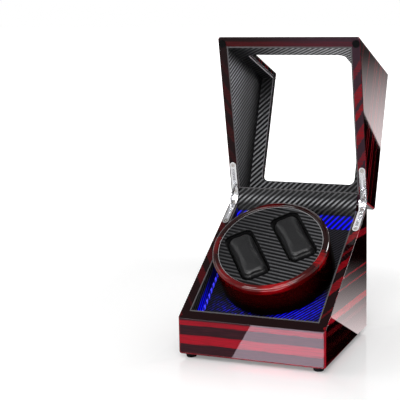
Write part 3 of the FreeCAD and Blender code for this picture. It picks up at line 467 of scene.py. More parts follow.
# Deck lining. The same leatherette with a finer rib, glued over the sloped board that carries the
# drive. Its crests carry a dim painted highlight that fades toward the front, and in the two front
# corners its ribs glow blue, a painted glow that stands in for the light of the strips.
DECK_PITCH = 3.2
DECK_RIB = 0.3
RIGHT_GLOW_X = (-2.0, 22.0)
RIGHT_GLOW_Y = (-5.0, -34.0)
LEFT_GLOW_X = (2.0, -34.0)
LEFT_GLOW_Y = (-16.0, -44.0)
GLOW_RADIUS = (97.0, 74.0)
BLOTCH_GRAIN = (0.22, 0.22, 0.22)
SPOT_EDGE = (0.45, 0.62)
SPOT_GLOW = (0.08, 0.58)
PATCH_EDGE = (0.30, 0.62)
PATCH_LOSS = 0.7
GROOVE_LOSS = 0.97
DECK_SHADE = (-50.0, 30.0)
DECK_SHEEN = (0.4, 1.0)
DECK_CREST_HIGHLIGHT = (0.034, 0.032, 0.046, 1.0)
deck_lining = Finish("deck_lining")
point = deck_lining.place(DECK_TURN, DECK_CENTER)
x, y, _ = deck_lining.parts(point)
phase = deck_lining.math("MULTIPLY", deck_lining.math("SUBTRACT", x, y), math.sqrt(0.5))
rib = ribbed(deck_lining, phase, DECK_PITCH)
# Painted sheen: the crest highlight fades toward the front of the deck.
painted_sheen = deck_lining.between(deck_lining.step(y, *DECK_SHADE), *DECK_SHEEN)
deck_lining.set(Base_Color=embossed(deck_lining, point, rib, DECK_RIB, DECK_CREST_HIGHLIGHT, painted_sheen))
# Painted glow: blue painted into the ribs in the two front corners, in place of the strips' light.
flat_x, flat_y, _ = deck_lining.parts(deck_lining.place())
to_front = deck_lining.step(flat_y, *RIGHT_GLOW_Y)
right_corner = deck_lining.math("MULTIPLY", to_front, deck_lining.step(flat_x, *RIGHT_GLOW_X))
to_front = deck_lining.step(flat_y, *LEFT_GLOW_Y)
left_corner = deck_lining.math("MULTIPLY", to_front, deck_lining.step(flat_x, *LEFT_GLOW_X))
blotch = deck_lining.noise(point, BLOTCH_GRAIN)
spotted = deck_lining.between(deck_lining.step(blotch, *SPOT_EDGE), *SPOT_GLOW)
corner = deck_lining.math("MAXIMUM", right_corner, deck_lining.math("MULTIPLY", left_corner, spotted))
near = deck_lining.step(deck_lining.radius(x, y), *GLOW_RADIUS)
glow = deck_lining.math("MULTIPLY", corner, near)
glow = deck_lining.dimmed(glow, deck_lining.step(blotch, *PATCH_EDGE), PATCH_LOSS)
deck_lining.set(Emission_Color=LED_BLUE, Emission_Strength=deck_lining.dimmed(glow, rib, GROOVE_LOSS))
wear(deck_lining, "deck_lining")
keep_glow("deck_lining")

# Drive. A geared motor on a folded steel bracket turns the spindle through two pulleys and a round
# rubber belt, all out of sight below the deck; the spindle runs in a sintered bronze bush.
ZINC_GREYS = ((0.42, 0.43, 0.44, 1.0), (0.62, 0.62, 0.60, 1.0))
zinc_plate = mottled(
    "zinc_plate", grain=0.35, detail=5.0, colors=ZINC_GREYS, roughness=(0.25, 0.50), Metallic=1.0
)
wear(
    zinc_plate, "motor_can", "motor_bracket", "bracket_screws", "motor_shaft", "turntable_spindle",
    "control_plate_screws",
)
BRONZES = ((0.30, 0.16, 0.06, 1.0), (0.55, 0.34, 0.14, 1.0))
sintered_bronze = mottled(
    "sintered_bronze", grain=5.0, detail=3.0, colors=BRONZES, roughness=(0.30, 0.60), Metallic=1.0
)
wear(sintered_bronze, "spindle_bush", "motor_gearbox")
PLASTIC_BLACKS = ((0.006, 0.006, 0.007, 1.0), (0.016, 0.016, 0.018, 1.0))
moulded_black = mottled(
    "moulded_black", grain=3.0, detail=3.0, colors=PLASTIC_BLACKS, roughness=(0.35, 0.55), depth=0.04,
    Specular_IOR_Level=0.35,
)
wear(
    moulded_black, "motor_pulley", "driven_pulley", "turntable_carrier", "mode_switch", "dc_jack",
    "light_switch_housing", "control_plate", "mode_knob", "light_rocker",
)
wear(moulded_rubber, "drive_belt")

# Turntable. A drum and a rounded ring, turned and lacquered to match the case, with a disc of ribbed
# leatherette sunk inside the ring and two slots in it for the cushions.
TABLE_TURN = DECK_TURN @ Matrix.Rotation(math.radians(35.0), 3, "Z")
RING_DARK = (0.014, 0.0008, 0.0006, 1.0)
RING_RED = (0.46, 0.0018, 0.0060, 1.0)
RING_STREAKS = (
    (15.0, 12.0, 0.2), (95.0, 10.0, 0.3), (142.0, 13.0, 0.4), (200.0, 15.0, 1.0), (256.0, 7.0, 0.9),
)
STREAK_BLUR = 7.0
RING_GRAIN = (0.02, 0.35, 0.35)
RING_FRAY = 24.0
RING_FIBRE = (0.35, 1.25)
RING_ROUGHNESS = (0.25, 0.45)
FRONT_RED = (-22.0, -56.0)
FRONT_SHARE = 0.3
RING_FOOT = (36.0, 40.0)
UNDER_RING = (38.4, 37.4)
UNDER_SHADE = 0.68
DRUM_FADE = (30.0, 8.0)
DRUM_SHADE = 0.30
DRUM_SHADOW_BLACK = (0.0008, 0.0001, 0.0001, 1.0)
FACE_PITCH = 4.7
FACE_CREST_HIGHLIGHT = (0.115, 0.115, 0.122, 1.0)
FACE_EDGE = (0.42, 0.42, 0.43, 1.0)
FACE_RADIUS = 60.0
FACE_RIM = (59.3, 59.5)
FACING_TOP = (0.6, 0.9)
FACE_RIB = 0.35
FACE_SHEEN = (0.42, 1.2)
turned_lacquer = Finish("turned_lacquer", Coat_Weight=1.0, Coat_Roughness=0.03, Coat_IOR=1.4, IOR=1.0)
point = turned_lacquer.place(DECK_TURN, DECK_CENTER)
x, y, z = turned_lacquer.parts(point)
fibre = turned_lacquer.noise(point, RING_GRAIN, detail=3.0)
ragged = turned_lacquer.math("MULTIPLY_ADD", fibre, RING_FRAY, -RING_FRAY / 2.0)
front = turned_lacquer.step(turned_lacquer.math("ADD", y, ragged), *FRONT_RED)
angle = turned_lacquer.math("ARCTAN2", x, turned_lacquer.math("MULTIPLY", y, -1.0))
degrees = turned_lacquer.math("MULTIPLY_ADD", angle, 180.0 / math.pi, 180.0)
angle = turned_lacquer.math("ADD", degrees, ragged)
on_ring = turned_lacquer.step(z, *RING_FOOT)
red = turned_lacquer.math("MULTIPLY", front, FRONT_SHARE)
for middle, half, strength in RING_STREAKS:
    apart = turned_lacquer.math("ABSOLUTE", turned_lacquer.math("SUBTRACT", angle, middle))
    streak = turned_lacquer.step(apart, half + STREAK_BLUR, half - STREAK_BLUR)
    streak = turned_lacquer.math("MULTIPLY", streak, turned_lacquer.math("MULTIPLY", on_ring, strength))
    red = turned_lacquer.math("MAXIMUM", red, streak)
red = turned_lacquer.math("MULTIPLY", red, turned_lacquer.between(fibre, *RING_FIBRE))
# Painted shade: the drum is darkened just under the ring and fades to near black toward its foot.
low = turned_lacquer.math("MULTIPLY", turned_lacquer.step(z, *DRUM_FADE), DRUM_SHADE)
low = turned_lacquer.math("MULTIPLY_ADD", turned_lacquer.step(z, *UNDER_RING), UNDER_SHADE, low)
turned_lacquer.set(
    Base_Color=turned_lacquer.mix(low, turned_lacquer.mix(red, RING_DARK, RING_RED), DRUM_SHADOW_BLACK),
    Roughness=turned_lacquer.between(fibre, *RING_ROUGHNESS),
)
wear(turned_lacquer, "turntable_ring", "turntable_drum")
face_lining = Finish("face_lining")
point = face_lining.place(TABLE_TURN, DECK_CENTER)
x, y, _ = face_lining.parts(point)
face_z = face_lining.parts(face_lining.facing(TABLE_TURN))[2]
phase = face_lining.math("MULTIPLY", face_lining.math("ADD", x, y), math.sqrt(0.5))
on_top = face_lining.step(face_z, *FACING_TOP)
rib = face_lining.math("MULTIPLY", ribbed(face_lining, phase, FACE_PITCH), on_top)
# Painted sheen: the face's crest highlight grows from the left of the face to the right.
rightward = face_lining.along(point, TABLE_TURN.inverted() @ Vector((1.0, 0.0, 0.0)))
painted_sheen = face_lining.node("MapRange", rightward, -FACE_RADIUS, FACE_RADIUS, *FACE_SHEEN).outputs[0]
color = embossed(face_lining, point, rib, FACE_RIB, FACE_CREST_HIGHLIGHT, painted_sheen)
rim = face_lining.math("MULTIPLY", face_lining.step(face_lining.radius(x, y), *FACE_RIM), on_top)
face_lining.set(Base_Color=face_lining.mix(rim, color, FACE_EDGE))
wear(face_lining, "turntable_face")

# Cushions. Foam pads in soft black leatherette, pushed down into the two wells of the turntable so
# that only their crowned tops stand out, with a seam sewn round each a little below its top.
PAD_VOXEL = 0.0014
PAD_SHRINK = 0.0009
PAD_SWELL = 0.0008
PAD_PRESSURE = 4.0
PAD_FRAMES = 20
SEAM_HEIGHT = 45.2
SEAM_HALF = 1.1
SEAM_DEPTH = 0.0006
SEAM_EDGE = (0.9, 0.2)
SEAM_BLACK = (0.002, 0.002, 0.002, 1.0)
PEBBLE_GRAIN = (1.9, 1.9, 1.9)
PEBBLE_BLACKS = ((0.004, 0.004, 0.0045, 1.0), (0.014, 0.014, 0.016, 1.0))
PEBBLE_ROUGHNESS = (0.30, 0.52)
FOLD_GRAIN = (0.16, 0.16, 0.16)
FOLD_BUMP = 2.0
SKIN_DEPTH = 0.16


def vertex_array(mesh, kind="co"):
    """A mesh's points, or its normals, as one array."""
    values = np.empty(3 * len(mesh.vertices), np.float32)
    mesh.vertices.foreach_get(kind, values)
    return values.reshape(-1, 3).astype(float)


def put_points(mesh, points):
    """Moves a mesh's points to the rows of an array."""
    mesh.vertices.foreach_set("co", points.astype(np.float32).ravel())
    mesh.update()


def finished_mesh(piece):
    """The mesh with the piece's modifiers applied to it."""
    depsgraph = bpy.context.evaluated_depsgraph_get()
    return bpy.data.meshes.new_from_object(piece.evaluated_get(depsgraph))


def stuffed_pad(name, node_name):
    """The node's form drawn in by the shrink, remeshed, and blown up by cloth pressure; a point that
    moves further than the swell is drawn back to it. Then the seam is sunk in: depth = e^-(h / half)^2."""
    mesh = nodes[node_name].data.copy()
    shell = bmesh.new()
    shell.from_mesh(mesh)
    bmesh.ops.remove_doubles(shell, verts=shell.verts, dist=1e-6)
    shell.to_mesh(mesh)
    shell.free()
    pad = bpy.data.objects.new(name, mesh)
    bpy.context.scene.collection.objects.link(pad)
    remesh = pad.modifiers.new("remesh", "REMESH")
    remesh.mode = "VOXEL"
    remesh.voxel_size = PAD_VOXEL
    pad.data = finished_mesh(pad)
    pad.modifiers.clear()
    put_points(pad.data, vertex_array(pad.data) - PAD_SHRINK * vertex_array(pad.data, "normal"))

    slack = vertex_array(pad.data)
    cloth = pad.modifiers.new("cloth", "CLOTH")
    cloth.settings.use_pressure = True
    cloth.settings.uniform_pressure_force = PAD_PRESSURE
    cloth.settings.effector_weights.gravity = 0.0
    for moment in range(1, PAD_FRAMES + 1):
        bpy.context.scene.frame_set(moment)
    swollen = finished_mesh(pad)
    move = vertex_array(swollen) - slack
    reach = np.linalg.norm(move, axis=1, keepdims=True)
    full = slack + move * np.minimum(1.0, PAD_SWELL / np.maximum(reach, 1e-9))
    pad.modifiers.clear()
    bpy.context.scene.frame_set(1)
    pad.data = swollen
    put_points(pad.data, full)

    table_up = np.array(TABLE_TURN.col[2])
    height = (full - np.array(DECK_CENTER)) @ table_up * PER_METRE
    sunk = SEAM_DEPTH * np.exp(-((height - SEAM_HEIGHT) / SEAM_HALF) ** 2)
    put_points(pad.data, full - sunk[:, None] * vertex_array(pad.data, "normal"))
    pad.data.polygons.foreach_set("use_smooth", np.ones(len(pad.data.polygons), bool))
    return pad


cushion_skin = Finish("cushion_skin", Specular_IOR_Level=0.35, Sheen_Weight=0.03, Sheen_Roughness=0.5)
point = cushion_skin.place(TABLE_TURN, DECK_CENTER)
height = cushion_skin.parts(point)[2]
pebble = cushion_skin.noise(point, PEBBLE_GRAIN, detail=4.0)
folds = cushion_skin.noise(point, FOLD_GRAIN, detail=3.0)
from_seam = cushion_skin.math("ABSOLUTE", cushion_skin.math("SUBTRACT", height, SEAM_HEIGHT))
in_seam = cushion_skin.step(from_seam, *SEAM_EDGE)
cushion_skin.set(
    Base_Color=cushion_skin.mix(in_seam, cushion_skin.mix(pebble, *PEBBLE_BLACKS), SEAM_BLACK),
    Roughness=cushion_skin.between(pebble, *PEBBLE_ROUGHNESS),
)
cushion_skin.bump(cushion_skin.math("MULTIPLY_ADD", folds, FOLD_BUMP, pebble), SKIN_DEPTH)
wear(cushion_skin, "cushion_wells")
left_pad = stuffed_pad("left_pad", "cushion_left")
right_pad = bpy.data.objects.new("right_pad", left_pad.data.copy())
bpy.context.scene.collection.objects.link(right_pad)
pad_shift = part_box("cushion_right")[0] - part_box("cushion_left")[0]
put_points(right_pad.data, vertex_array(left_pad.data) + np.array(pad_shift))
for pad, body in ((left_pad, "cushion_left"), (right_pad, "cushion_right")):
    pad.data.materials.clear()
    pad.data.materials.append(cushion_skin.material)
    smooth = pad.modifiers.new("smooth", "SUBSURF")
    smooth.levels = smooth.render_levels = 1
    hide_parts(body)
    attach(pad, body)

# Controls. A plate let into the back board carries the mode knob, the light switch and the power
# inlet, all in the black plastic of the pulleys; behind it sits the green board that times the motor.
MASK_GREENS = ((0.004, 0.045, 0.018, 1.0), (0.010, 0.090, 0.035, 1.0))
solder_mask = mottled(
    "solder_mask", grain=1.2, detail=3.0, colors=MASK_GREENS, roughness=(0.35, 0.35), Specular_IOR_Level=0.5
)
wear(solder_mask, "control_board")

# Lid boards. The upper part of the same case, cut off along the seam and framed round one window that
# wraps from its front over its top. The veneer lines up with the base when the lid is shut.
LID_OPEN = math.radians(joints["lid_hinge"]["range_deg"][1])
LID_TURN = Matrix.Rotation(-LID_OPEN, 3, "X")
LID_FRONT_STREAKS = (
    (48.0, 3.5, 0.35), (55.0, 0.4, 0.7), (68.0, 1.8, 0.5), (97.0, 0.5, 0.6), (121.0, 6.5, 0.85),
    (150.0, 0.4, 0.6), (165.0, 0.6, 0.7),
)
LID_SIDE_STREAKS = (
    (58.0, 2.0, 0.12), (86.0, 0.8, 0.32), (116.0, 1.4, 0.22), (124.0, 0.8, 0.34), (140.0, 1.0, 0.36),
    (147.0, 0.9, 0.36), (163.0, 0.6, 0.25),
)
LID_RIM_STREAKS = (
    (32.0, 4.0, 0.6), (62.0, 5.0, 0.6), (92.0, 8.0, 0.9), (120.0, 4.0, 1.0), (140.0, 8.0, 1.0),
    (170.0, 5.0, 0.5),
)
# The lid's rim turns mauve toward the right, a painted reflection.
lid_lacquer = streaked_lacquer(
    "lid_lacquer", LID_TURN, HINGE, -1.0, LID_FRONT_STREAKS, LID_SIDE_STREAKS, LID_RIM_STREAKS,
    front_rim=0.2, left_rim=0.12, right_ground_and_reflection=RIM_MAUVE_REFLECTION,
)
wear(
    lid_lacquer, "lid_left_panel", "lid_right_panel", "lid_front_rail", "lid_front_stiles", "lid_top_stiles",
    "lid_top_rail", "lid_back_panel",
)

# Lid linings. The leatherette of the base again, fine on the two side walls and bold round the window.
# Each piece is cut square, and its edge shows as a thin grey line.
SIDE_PITCH = 4.4
# The crest colours below are painted highlights on the ribs, the frame's nearly white.
SIDE_CREST_HIGHLIGHT = (0.42, 0.42, 0.46, 1.0)
FRAME_CREST_HIGHLIGHT = (0.85, 0.85, 0.89, 1.0)
WINDOW_EDGE = (0.36, 0.35, 0.37, 1.0)
LINED_CEILING = 179.4
SIDE_RIB = 0.35
INNER_SHEEN = (14.0, 36.0)
INNER_SHARE = 0.24
OUTER_SHEEN = (44.0, 92.0)
FRONT_SHADE = (-74.0, -56.0)
FRONT_SPAN = (-62.0, 52.0)
FRONT_SHEEN = (0.03, 1.0)
TOP_SPAN = (-60.0, 60.0)
TOP_SHEEN = (0.40, 0.18)
TOP_SHADE = (-78.0, -8.0)
CEILING_EDGE = 0.1
ACROSS_CUT = (0.8, 0.6)
FACING_LID_RIM = (0.95, 0.98)
lid_side_lining = Finish("lid_side_lining")
point = lid_side_lining.unturned(LID_TURN, HINGE)
_, y, z = lid_side_lining.parts(point)
phase = lid_side_lining.math("MULTIPLY", lid_side_lining.math("ADD", y, z), math.sqrt(0.5))
rib = ribbed(lid_side_lining, phase, SIDE_PITCH, sharp=-0.05)
# Painted sheen: the crest highlight is dim next to the lid's ceiling and grows toward the rim; painted shade
# darkens it toward the front.
from_ceiling = lid_side_lining.math("SUBTRACT", LINED_CEILING, z)
inner = lid_side_lining.step(from_ceiling, *INNER_SHEEN)
outer = lid_side_lining.step(from_ceiling, *OUTER_SHEEN)
painted_sheen_by_height = lid_side_lining.mix(INNER_SHARE, outer, inner)
painted_sheen = lid_side_lining.math("MULTIPLY", painted_sheen_by_height, lid_side_lining.step(y, *FRONT_SHADE))
color = embossed(lid_side_lining, point, rib, SIDE_RIB, SIDE_CREST_HIGHLIGHT, painted_sheen)
face_z = lid_side_lining.parts(lid_side_lining.facing(LID_TURN))[2]
downward = lid_side_lining.math("MULTIPLY", face_z, -1.0)
color = lid_side_lining.mix(lid_side_lining.step(downward, *FACING_CUT), color, CUT_EDGE)
lid_side_lining.set(Base_Color=color)
wear(lid_side_lining, "lid_side_linings")

lid_frame_lining = Finish("lid_frame_lining")
point = lid_frame_lining.unturned(LID_TURN, HINGE)
x, y, z = lid_frame_lining.parts(point)
length = lid_frame_lining.math("ADD", y, z)
phase = lid_frame_lining.math("MULTIPLY", lid_frame_lining.math("ADD", x, length), math.sqrt(0.5))
rib = ribbed(lid_frame_lining, phase, WALL_PITCH)
# Painted sheen: on the front the crest highlight grows toward the right; on the top it grows toward the left
# and falls off into painted shade toward the front.
upper = lid_frame_lining.step(z, LINED_CEILING - CEILING_EDGE, LINED_CEILING)
rightward = lid_frame_lining.node("MapRange", x, *FRONT_SPAN, *FRONT_SHEEN).outputs[0]
leftward = lid_frame_lining.node("MapRange", x, *TOP_SPAN, *TOP_SHEEN).outputs[0]
backward = lid_frame_lining.math("MULTIPLY", leftward, lid_frame_lining.step(y, *TOP_SHADE))
painted_sheen = lid_frame_lining.mix(upper, rightward, backward)
color = embossed(lid_frame_lining, point, rib, WALL_RIB, FRAME_CREST_HIGHLIGHT, painted_sheen)
facing = lid_frame_lining.facing(LID_TURN)
_, face_y, face_z = lid_frame_lining.parts(facing)
front_edge = lid_frame_lining.step(lid_frame_lining.math("ABSOLUTE", face_y), *ACROSS_CUT)
top_edge = lid_frame_lining.step(lid_frame_lining.math("ABSOLUTE", face_z), *ACROSS_CUT)
cut = lid_frame_lining.mix(upper, front_edge, top_edge)
rim_way = (0.0, math.sin(SEAM_SLOPE), -math.cos(SEAM_SLOPE))
at_rim = lid_frame_lining.step(lid_frame_lining.along(facing, rim_way), *FACING_LID_RIM)
edge = lid_frame_lining.mix(at_rim, WINDOW_EDGE, CUT_EDGE)
lid_frame_lining.set(Base_Color=lid_frame_lining.mix(cut, color, edge))
wear(lid_frame_lining, "lid_frame_linings")

# Hinge flap. A strip of the same leatherette glued inside both back walls, bridging the gap between
# the two back rims; it is made only in the shape it has when the lid is open.
FLAP_HALF = 0.0734
FLAP_THICKNESS = 0.0004
FLAP_SEAT = np.array((-0.01175, -0.00724))
BASE_LAP = 0.006
LID_LAP = 0.008
LAP_ROWS = 5
HEM_LINE = 168.1
HEM_EDGE = (0.8, 0.6)
LINED_WALL = 11.5
CROWN_RISE = (148.0, 153.5)
CROWN_FALL = (161.0, 155.5)
CROWN_SHEEN = (0.14, 0.96)
LID_END = (153.0, 160.0)
LID_END_SHEEN = 0.12
FLAP_CREST_HIGHLIGHT = (0.44, 0.44, 0.46, 1.0)
FLAP_COLUMNS = 41
FLAP_ROWS = 40


def flap_line():
    """Up the base wall, across to the lid and in along its wall, as rows of y and z about the pin. With t the
    share of the way across and w = t^2 (3 - 2t), the angle turns by the lid's opening times w, and the
    radius is the one that puts the point a share t along the straight line: (t - 1/2) chord / cosine."""
    share = (np.arange(FLAP_ROWS) + 0.5) / FLAP_ROWS
    share = np.concatenate(([0.0], share[1:-1], [1.0]))
    eased = share * share * (3.0 - 2.0 * share)
    start = math.atan2(FLAP_SEAT[1], FLAP_SEAT[0])
    lid_way = np.array((math.sin(LID_OPEN), math.cos(LID_OPEN)))
    turn = np.array(((math.cos(LID_OPEN), math.sin(LID_OPEN)), (-math.sin(LID_OPEN), math.cos(LID_OPEN))))
    chord = turn @ FLAP_SEAT - FLAP_SEAT
    span = np.linalg.norm(chord)
    way = np.stack((np.cos(start - LID_OPEN * eased), np.sin(start - LID_OPEN * eased)), axis=1)
    radius = (share - 0.5) * span / (way @ chord / span)
    bridge = way * radius[:, None]
    lap = np.linspace(1.0, 0.0, LAP_ROWS + 1)[:-1, None]
    below = FLAP_SEAT + lap * BASE_LAP * np.array((0.0, -1.0))
    beyond = turn @ FLAP_SEAT + lap[::-1] * LID_LAP * lid_way
    return np.concatenate((below, bridge, beyond))


line = flap_line()
run = np.concatenate(([0.0], np.cumsum(np.linalg.norm(np.diff(line, axis=0), axis=1))))
columns = np.linspace(-FLAP_HALF, FLAP_HALF, FLAP_COLUMNS)
rows = len(line)
spread = np.empty((rows, FLAP_COLUMNS, 3))
spread[..., 0] = columns
spread[..., 1] = HINGE.y + line[:, :1]
spread[..., 2] = HINGE.z + line[:, 1:]
corner = np.arange(rows * FLAP_COLUMNS).reshape(rows, FLAP_COLUMNS)
quads = np.stack((corner[:-1, :-1], corner[:-1, 1:], corner[1:, 1:], corner[1:, :-1]), axis=-1).reshape(-1, 4)
mesh = bpy.data.meshes.new("hinge_flap")
mesh.from_pydata(spread.reshape(-1, 3).tolist(), [], quads.tolist())
mesh.polygons.foreach_set("use_smooth", np.ones(len(quads), bool))
across = np.tile(columns, rows)
upward = np.repeat(run + HINGE.z + FLAP_SEAT[1] - BASE_LAP, FLAP_COLUMNS)
corners = np.empty(len(mesh.loops), np.int32)
mesh.loops.foreach_get("vertex_index", corners)
flat_map = mesh.uv_layers.new(name="flat")
flat_map.data.foreach_set("uv", np.stack((across[corners], upward[corners]), axis=1).ravel())
hinge_flap = bpy.data.objects.new("hinge_flap", mesh)
bpy.context.scene.collection.objects.link(hinge_flap)
flap_lining = Finish("flap_lining")
flat = flap_lining.node("UVMap", uv_map="flat").outputs[0]
point = flap_lining.node("Mapping", flat, None, None, MILLIMETRES).outputs[0]
x, y, _ = flap_lining.parts(point)
length = flap_lining.math("ADD", flap_lining.math("SUBTRACT", x, y), CASE_HALF - LINED_WALL)
rib = ribbed(flap_lining, flap_lining.math("MULTIPLY", length, math.sqrt(0.5)), WALL_PITCH)
# Painted highlight: a band across the bulge of the flap is painted brighter, and the strip toward the lid a
# little brighter too.
crown = flap_lining.math("MULTIPLY", flap_lining.step(y, *CROWN_RISE), flap_lining.step(y, *CROWN_FALL))
painted_sheen = flap_lining.between(crown, *CROWN_SHEEN)
painted_sheen = flap_lining.math("MULTIPLY_ADD", flap_lining.step(y, *LID_END), LID_END_SHEEN, painted_sheen)
color = embossed(flap_lining, point, rib, WALL_RIB, FLAP_CREST_HIGHLIGHT, painted_sheen)
from_hem = flap_lining.math("ABSOLUTE", flap_lining.math("SUBTRACT", y, HEM_LINE))
hem = flap_lining.step(from_hem, *HEM_EDGE)
flap_lining.set(Base_Color=flap_lining.mix(hem, color, CUT_EDGE))
mesh.materials.append(flap_lining.material)
skin = hinge_flap.modifiers.new("skin", "SOLIDIFY")
skin.thickness = FLAP_THICKNESS
skin.offset = 0.0
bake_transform(hinge_flap)

# Panes, seals and bumpers. Two flat panes of clear acrylic sit in rebates behind the window, bedded on
# a black bead and cemented to each other; a soft bumper is sunk in each front corner of the lid's rim.
WINDOW_SIDE = (57.4, 57.2)
CEMENT_FRONT = (-70.0, -72.0)
CEMENT_TOP = (175.0, 177.0)
BEAD_BLACK = (0.008, 0.008, 0.009, 1.0)
clear_acrylic = Finish("clear_acrylic", Base_Color=WHITE, IOR=1.2, Roughness=0.0, Transmission_Weight=1.0)
wear(clear_acrylic, "front_pane", "top_pane")
for name in ("front_pane", "top_pane", "pane_seals"):
    nodes[name].visible_shadow = False
wear(moulded_rubber, "lid_bumpers")
bead = Finish("bead", IOR=1.2)
x, y, z = bead.parts(bead.unturned(LID_TURN, HINGE))
inside = bead.step(bead.math("ABSOLUTE", x), *WINDOW_SIDE)
cement = bead.math("MULTIPLY", bead.step(y, *CEMENT_FRONT), bead.step(z, *CEMENT_TOP))
cement = bead.math("MULTIPLY", cement, inside)
bead.set(
    Base_Color=bead.mix(cement, BEAD_BLACK, WHITE),
    Transmission_Weight=cement,
    Roughness=bead.between(cement, 0.5, 0.0),
)
wear(bead, "pane_seals")

# Hinges and stays. Two stamped leaves a side, screwed flat to the rims, with a knuckle pin between
# them and a pair of flat links that stop the lid; all in bright chrome, a little dulled by handling.
CHROME = (0.86, 0.86, 0.88, 1.0)
STEEL_GREYS = ((0.42, 0.40, 0.38, 1.0), (0.66, 0.64, 0.62, 1.0))
chrome_plate = mottled(
    "chrome_plate", grain=0.08, detail=2.0, colors=(CHROME, CHROME), roughness=(0.20, 0.28), Metallic=0.95
)
wear(
    chrome_plate, "base_hinge_leaves", "hinge_pins", "stay_base_pins", "stay_lower_left", "stay_upper_left",
    "stay_lower_right", "stay_upper_right", "lid_hinge_leaves", "stay_lid_pins",
)
screw_steel = mottled(
    "screw_steel", grain=0.8, detail=4.0, colors=STEEL_GREYS, roughness=(0.15, 0.35), Metallic=1.0
)
wear(screw_steel, "base_hinge_screws", "lid_hinge_screws")

# Studio. A white table that keeps a soft shadow and a faint mirror of the case, a white room with a
# grey ceiling, one large lamp in front and a second from the left, cards and lamps that only mirrors
# see, and the photograph's camera.
scene = bpy.context.scene
scene.view_settings.view_transform = "Standard"


def flat_sheet(name, corners):
    """A flat sheet through its corners, in order round its edge."""
    mesh = bpy.data.meshes.new(name)
    mesh.from_pydata(corners, [], [tuple(range(len(corners)))])
    sheet = bpy.data.objects.new(name, mesh)
    scene.collection.objects.link(sheet)
    return sheet


FLOOR_HALF = 9.0
MIRROR_SHARE = 0.27
MIRROR_REACH = 135.0
MIRROR_ROUGHNESS = 0.06
FLOOR_FADE = (200.0, 700.0)
FLOOR_LIFT = (0.35, 1.15)
floor = flat_sheet("floor", [
    (-FLOOR_HALF, -FLOOR_HALF, 0.0), (FLOOR_HALF, -FLOOR_HALF, 0.0), (FLOOR_HALF, FLOOR_HALF, 0.0),
    (-FLOOR_HALF, FLOOR_HALF, 0.0),
])
white_table = Finish("white_table", Base_Color=(0.84, 0.84, 0.84, 1.0), Roughness=0.6, IOR=1.0)
x, y, _ = white_table.parts(white_table.place())
apart = white_table.math("MAXIMUM", white_table.math("ABSOLUTE", x), white_table.math("ABSOLUTE", y))
apart = white_table.math("SUBTRACT", apart, CASE_HALF)
far = white_table.step(apart, *FLOOR_FADE)
path = white_table.node("LightPath").outputs
straight = white_table.math("LESS_THAN", path["Diffuse Depth"], 0.5)
through = white_table.math("MULTIPLY", path["Is Transmission Ray"], straight)
seen = white_table.math("MAXIMUM", path["Is Camera Ray"], through)
lift = white_table.math("MULTIPLY", seen, white_table.between(far, *FLOOR_LIFT))
white_table.set(Emission_Color=WHITE, Emission_Strength=lift)
near = white_table.math("SUBTRACT", 1.0, white_table.math("DIVIDE", apart, MIRROR_REACH))
near = white_table.math("MAXIMUM", near, 0.0)
share = white_table.math("MULTIPLY", white_table.math("MULTIPLY", near, near), MIRROR_SHARE)
gloss = white_table.node("BsdfAnisotropic", WHITE, MIRROR_ROUGHNESS)
blended = white_table.node("MixShader", share, white_table.shader.outputs[0], gloss.outputs[0])
output = white_table.tree.nodes["Material Output"]
white_table.tree.links.new(blended.outputs[0], output.inputs["Surface"])
floor.data.materials.append(white_table.material)


def reflector(name, corners, fade, lights, tint=WHITE):
    """A tinted card that only mirrors see, from the side round which its corners run anticlockwise. With t
    falling from 1 to 0 between the two distances along y, its light is the second plus t^2 times what the
    first has over it."""
    card = flat_sheet(name, corners)
    for kind in ("camera", "diffuse", "transmission", "volume_scatter", "shadow"):
        setattr(card, "visible_" + kind, False)
    paper = Finish(name)
    y = paper.parts(paper.place())[1]
    near = paper.node("MapRange", y, *fade, 1.0, 0.0).outputs[0]
    level = paper.between(paper.math("MULTIPLY", near, near), lights[1], lights[0])
    light = paper.node("Emission", tint, level)
    under = paper.node("NewGeometry").outputs["Backfacing"]
    clear = paper.node("BsdfTransparent", WHITE)
    blended = paper.node("MixShader", under, light.outputs[0], clear.outputs[0])
    paper.tree.links.new(blended.outputs[0], paper.tree.nodes["Material Output"].inputs["Surface"])
    card.data.materials.append(paper.material)


CARD_HEIGHT = 0.001


def on_table(*corners):
    """Corners just clear of the table."""
    return [(x, y, CARD_HEIGHT) for x, y in corners]


EVEN = (0.0, 1.0)
UNLIT = (0.0, 0.0)
LILAC = (1.0, 0.81, 0.96, 1.0)
ROSE = (1.0, 0.85, 0.86, 1.0)
FRONT_Y = -0.089
FRONT_FOOT = 0.002
FRONT_TOP = 0.0464
FRONT_LEFT_FOOT = -0.0252
FRONT_LEFT_TOP = 0.0005
FRONT_RIGHT = 0.084
FRONT_LIGHT = (19.0, 19.0)
standing = [
    (FRONT_LEFT_FOOT, FRONT_Y, FRONT_FOOT), (FRONT_LEFT_TOP, FRONT_Y, FRONT_TOP),
    (FRONT_RIGHT, FRONT_Y, FRONT_TOP), (FRONT_RIGHT, FRONT_Y, FRONT_FOOT),
]
reflector("front_card", standing, EVEN, FRONT_LIGHT, LILAC)

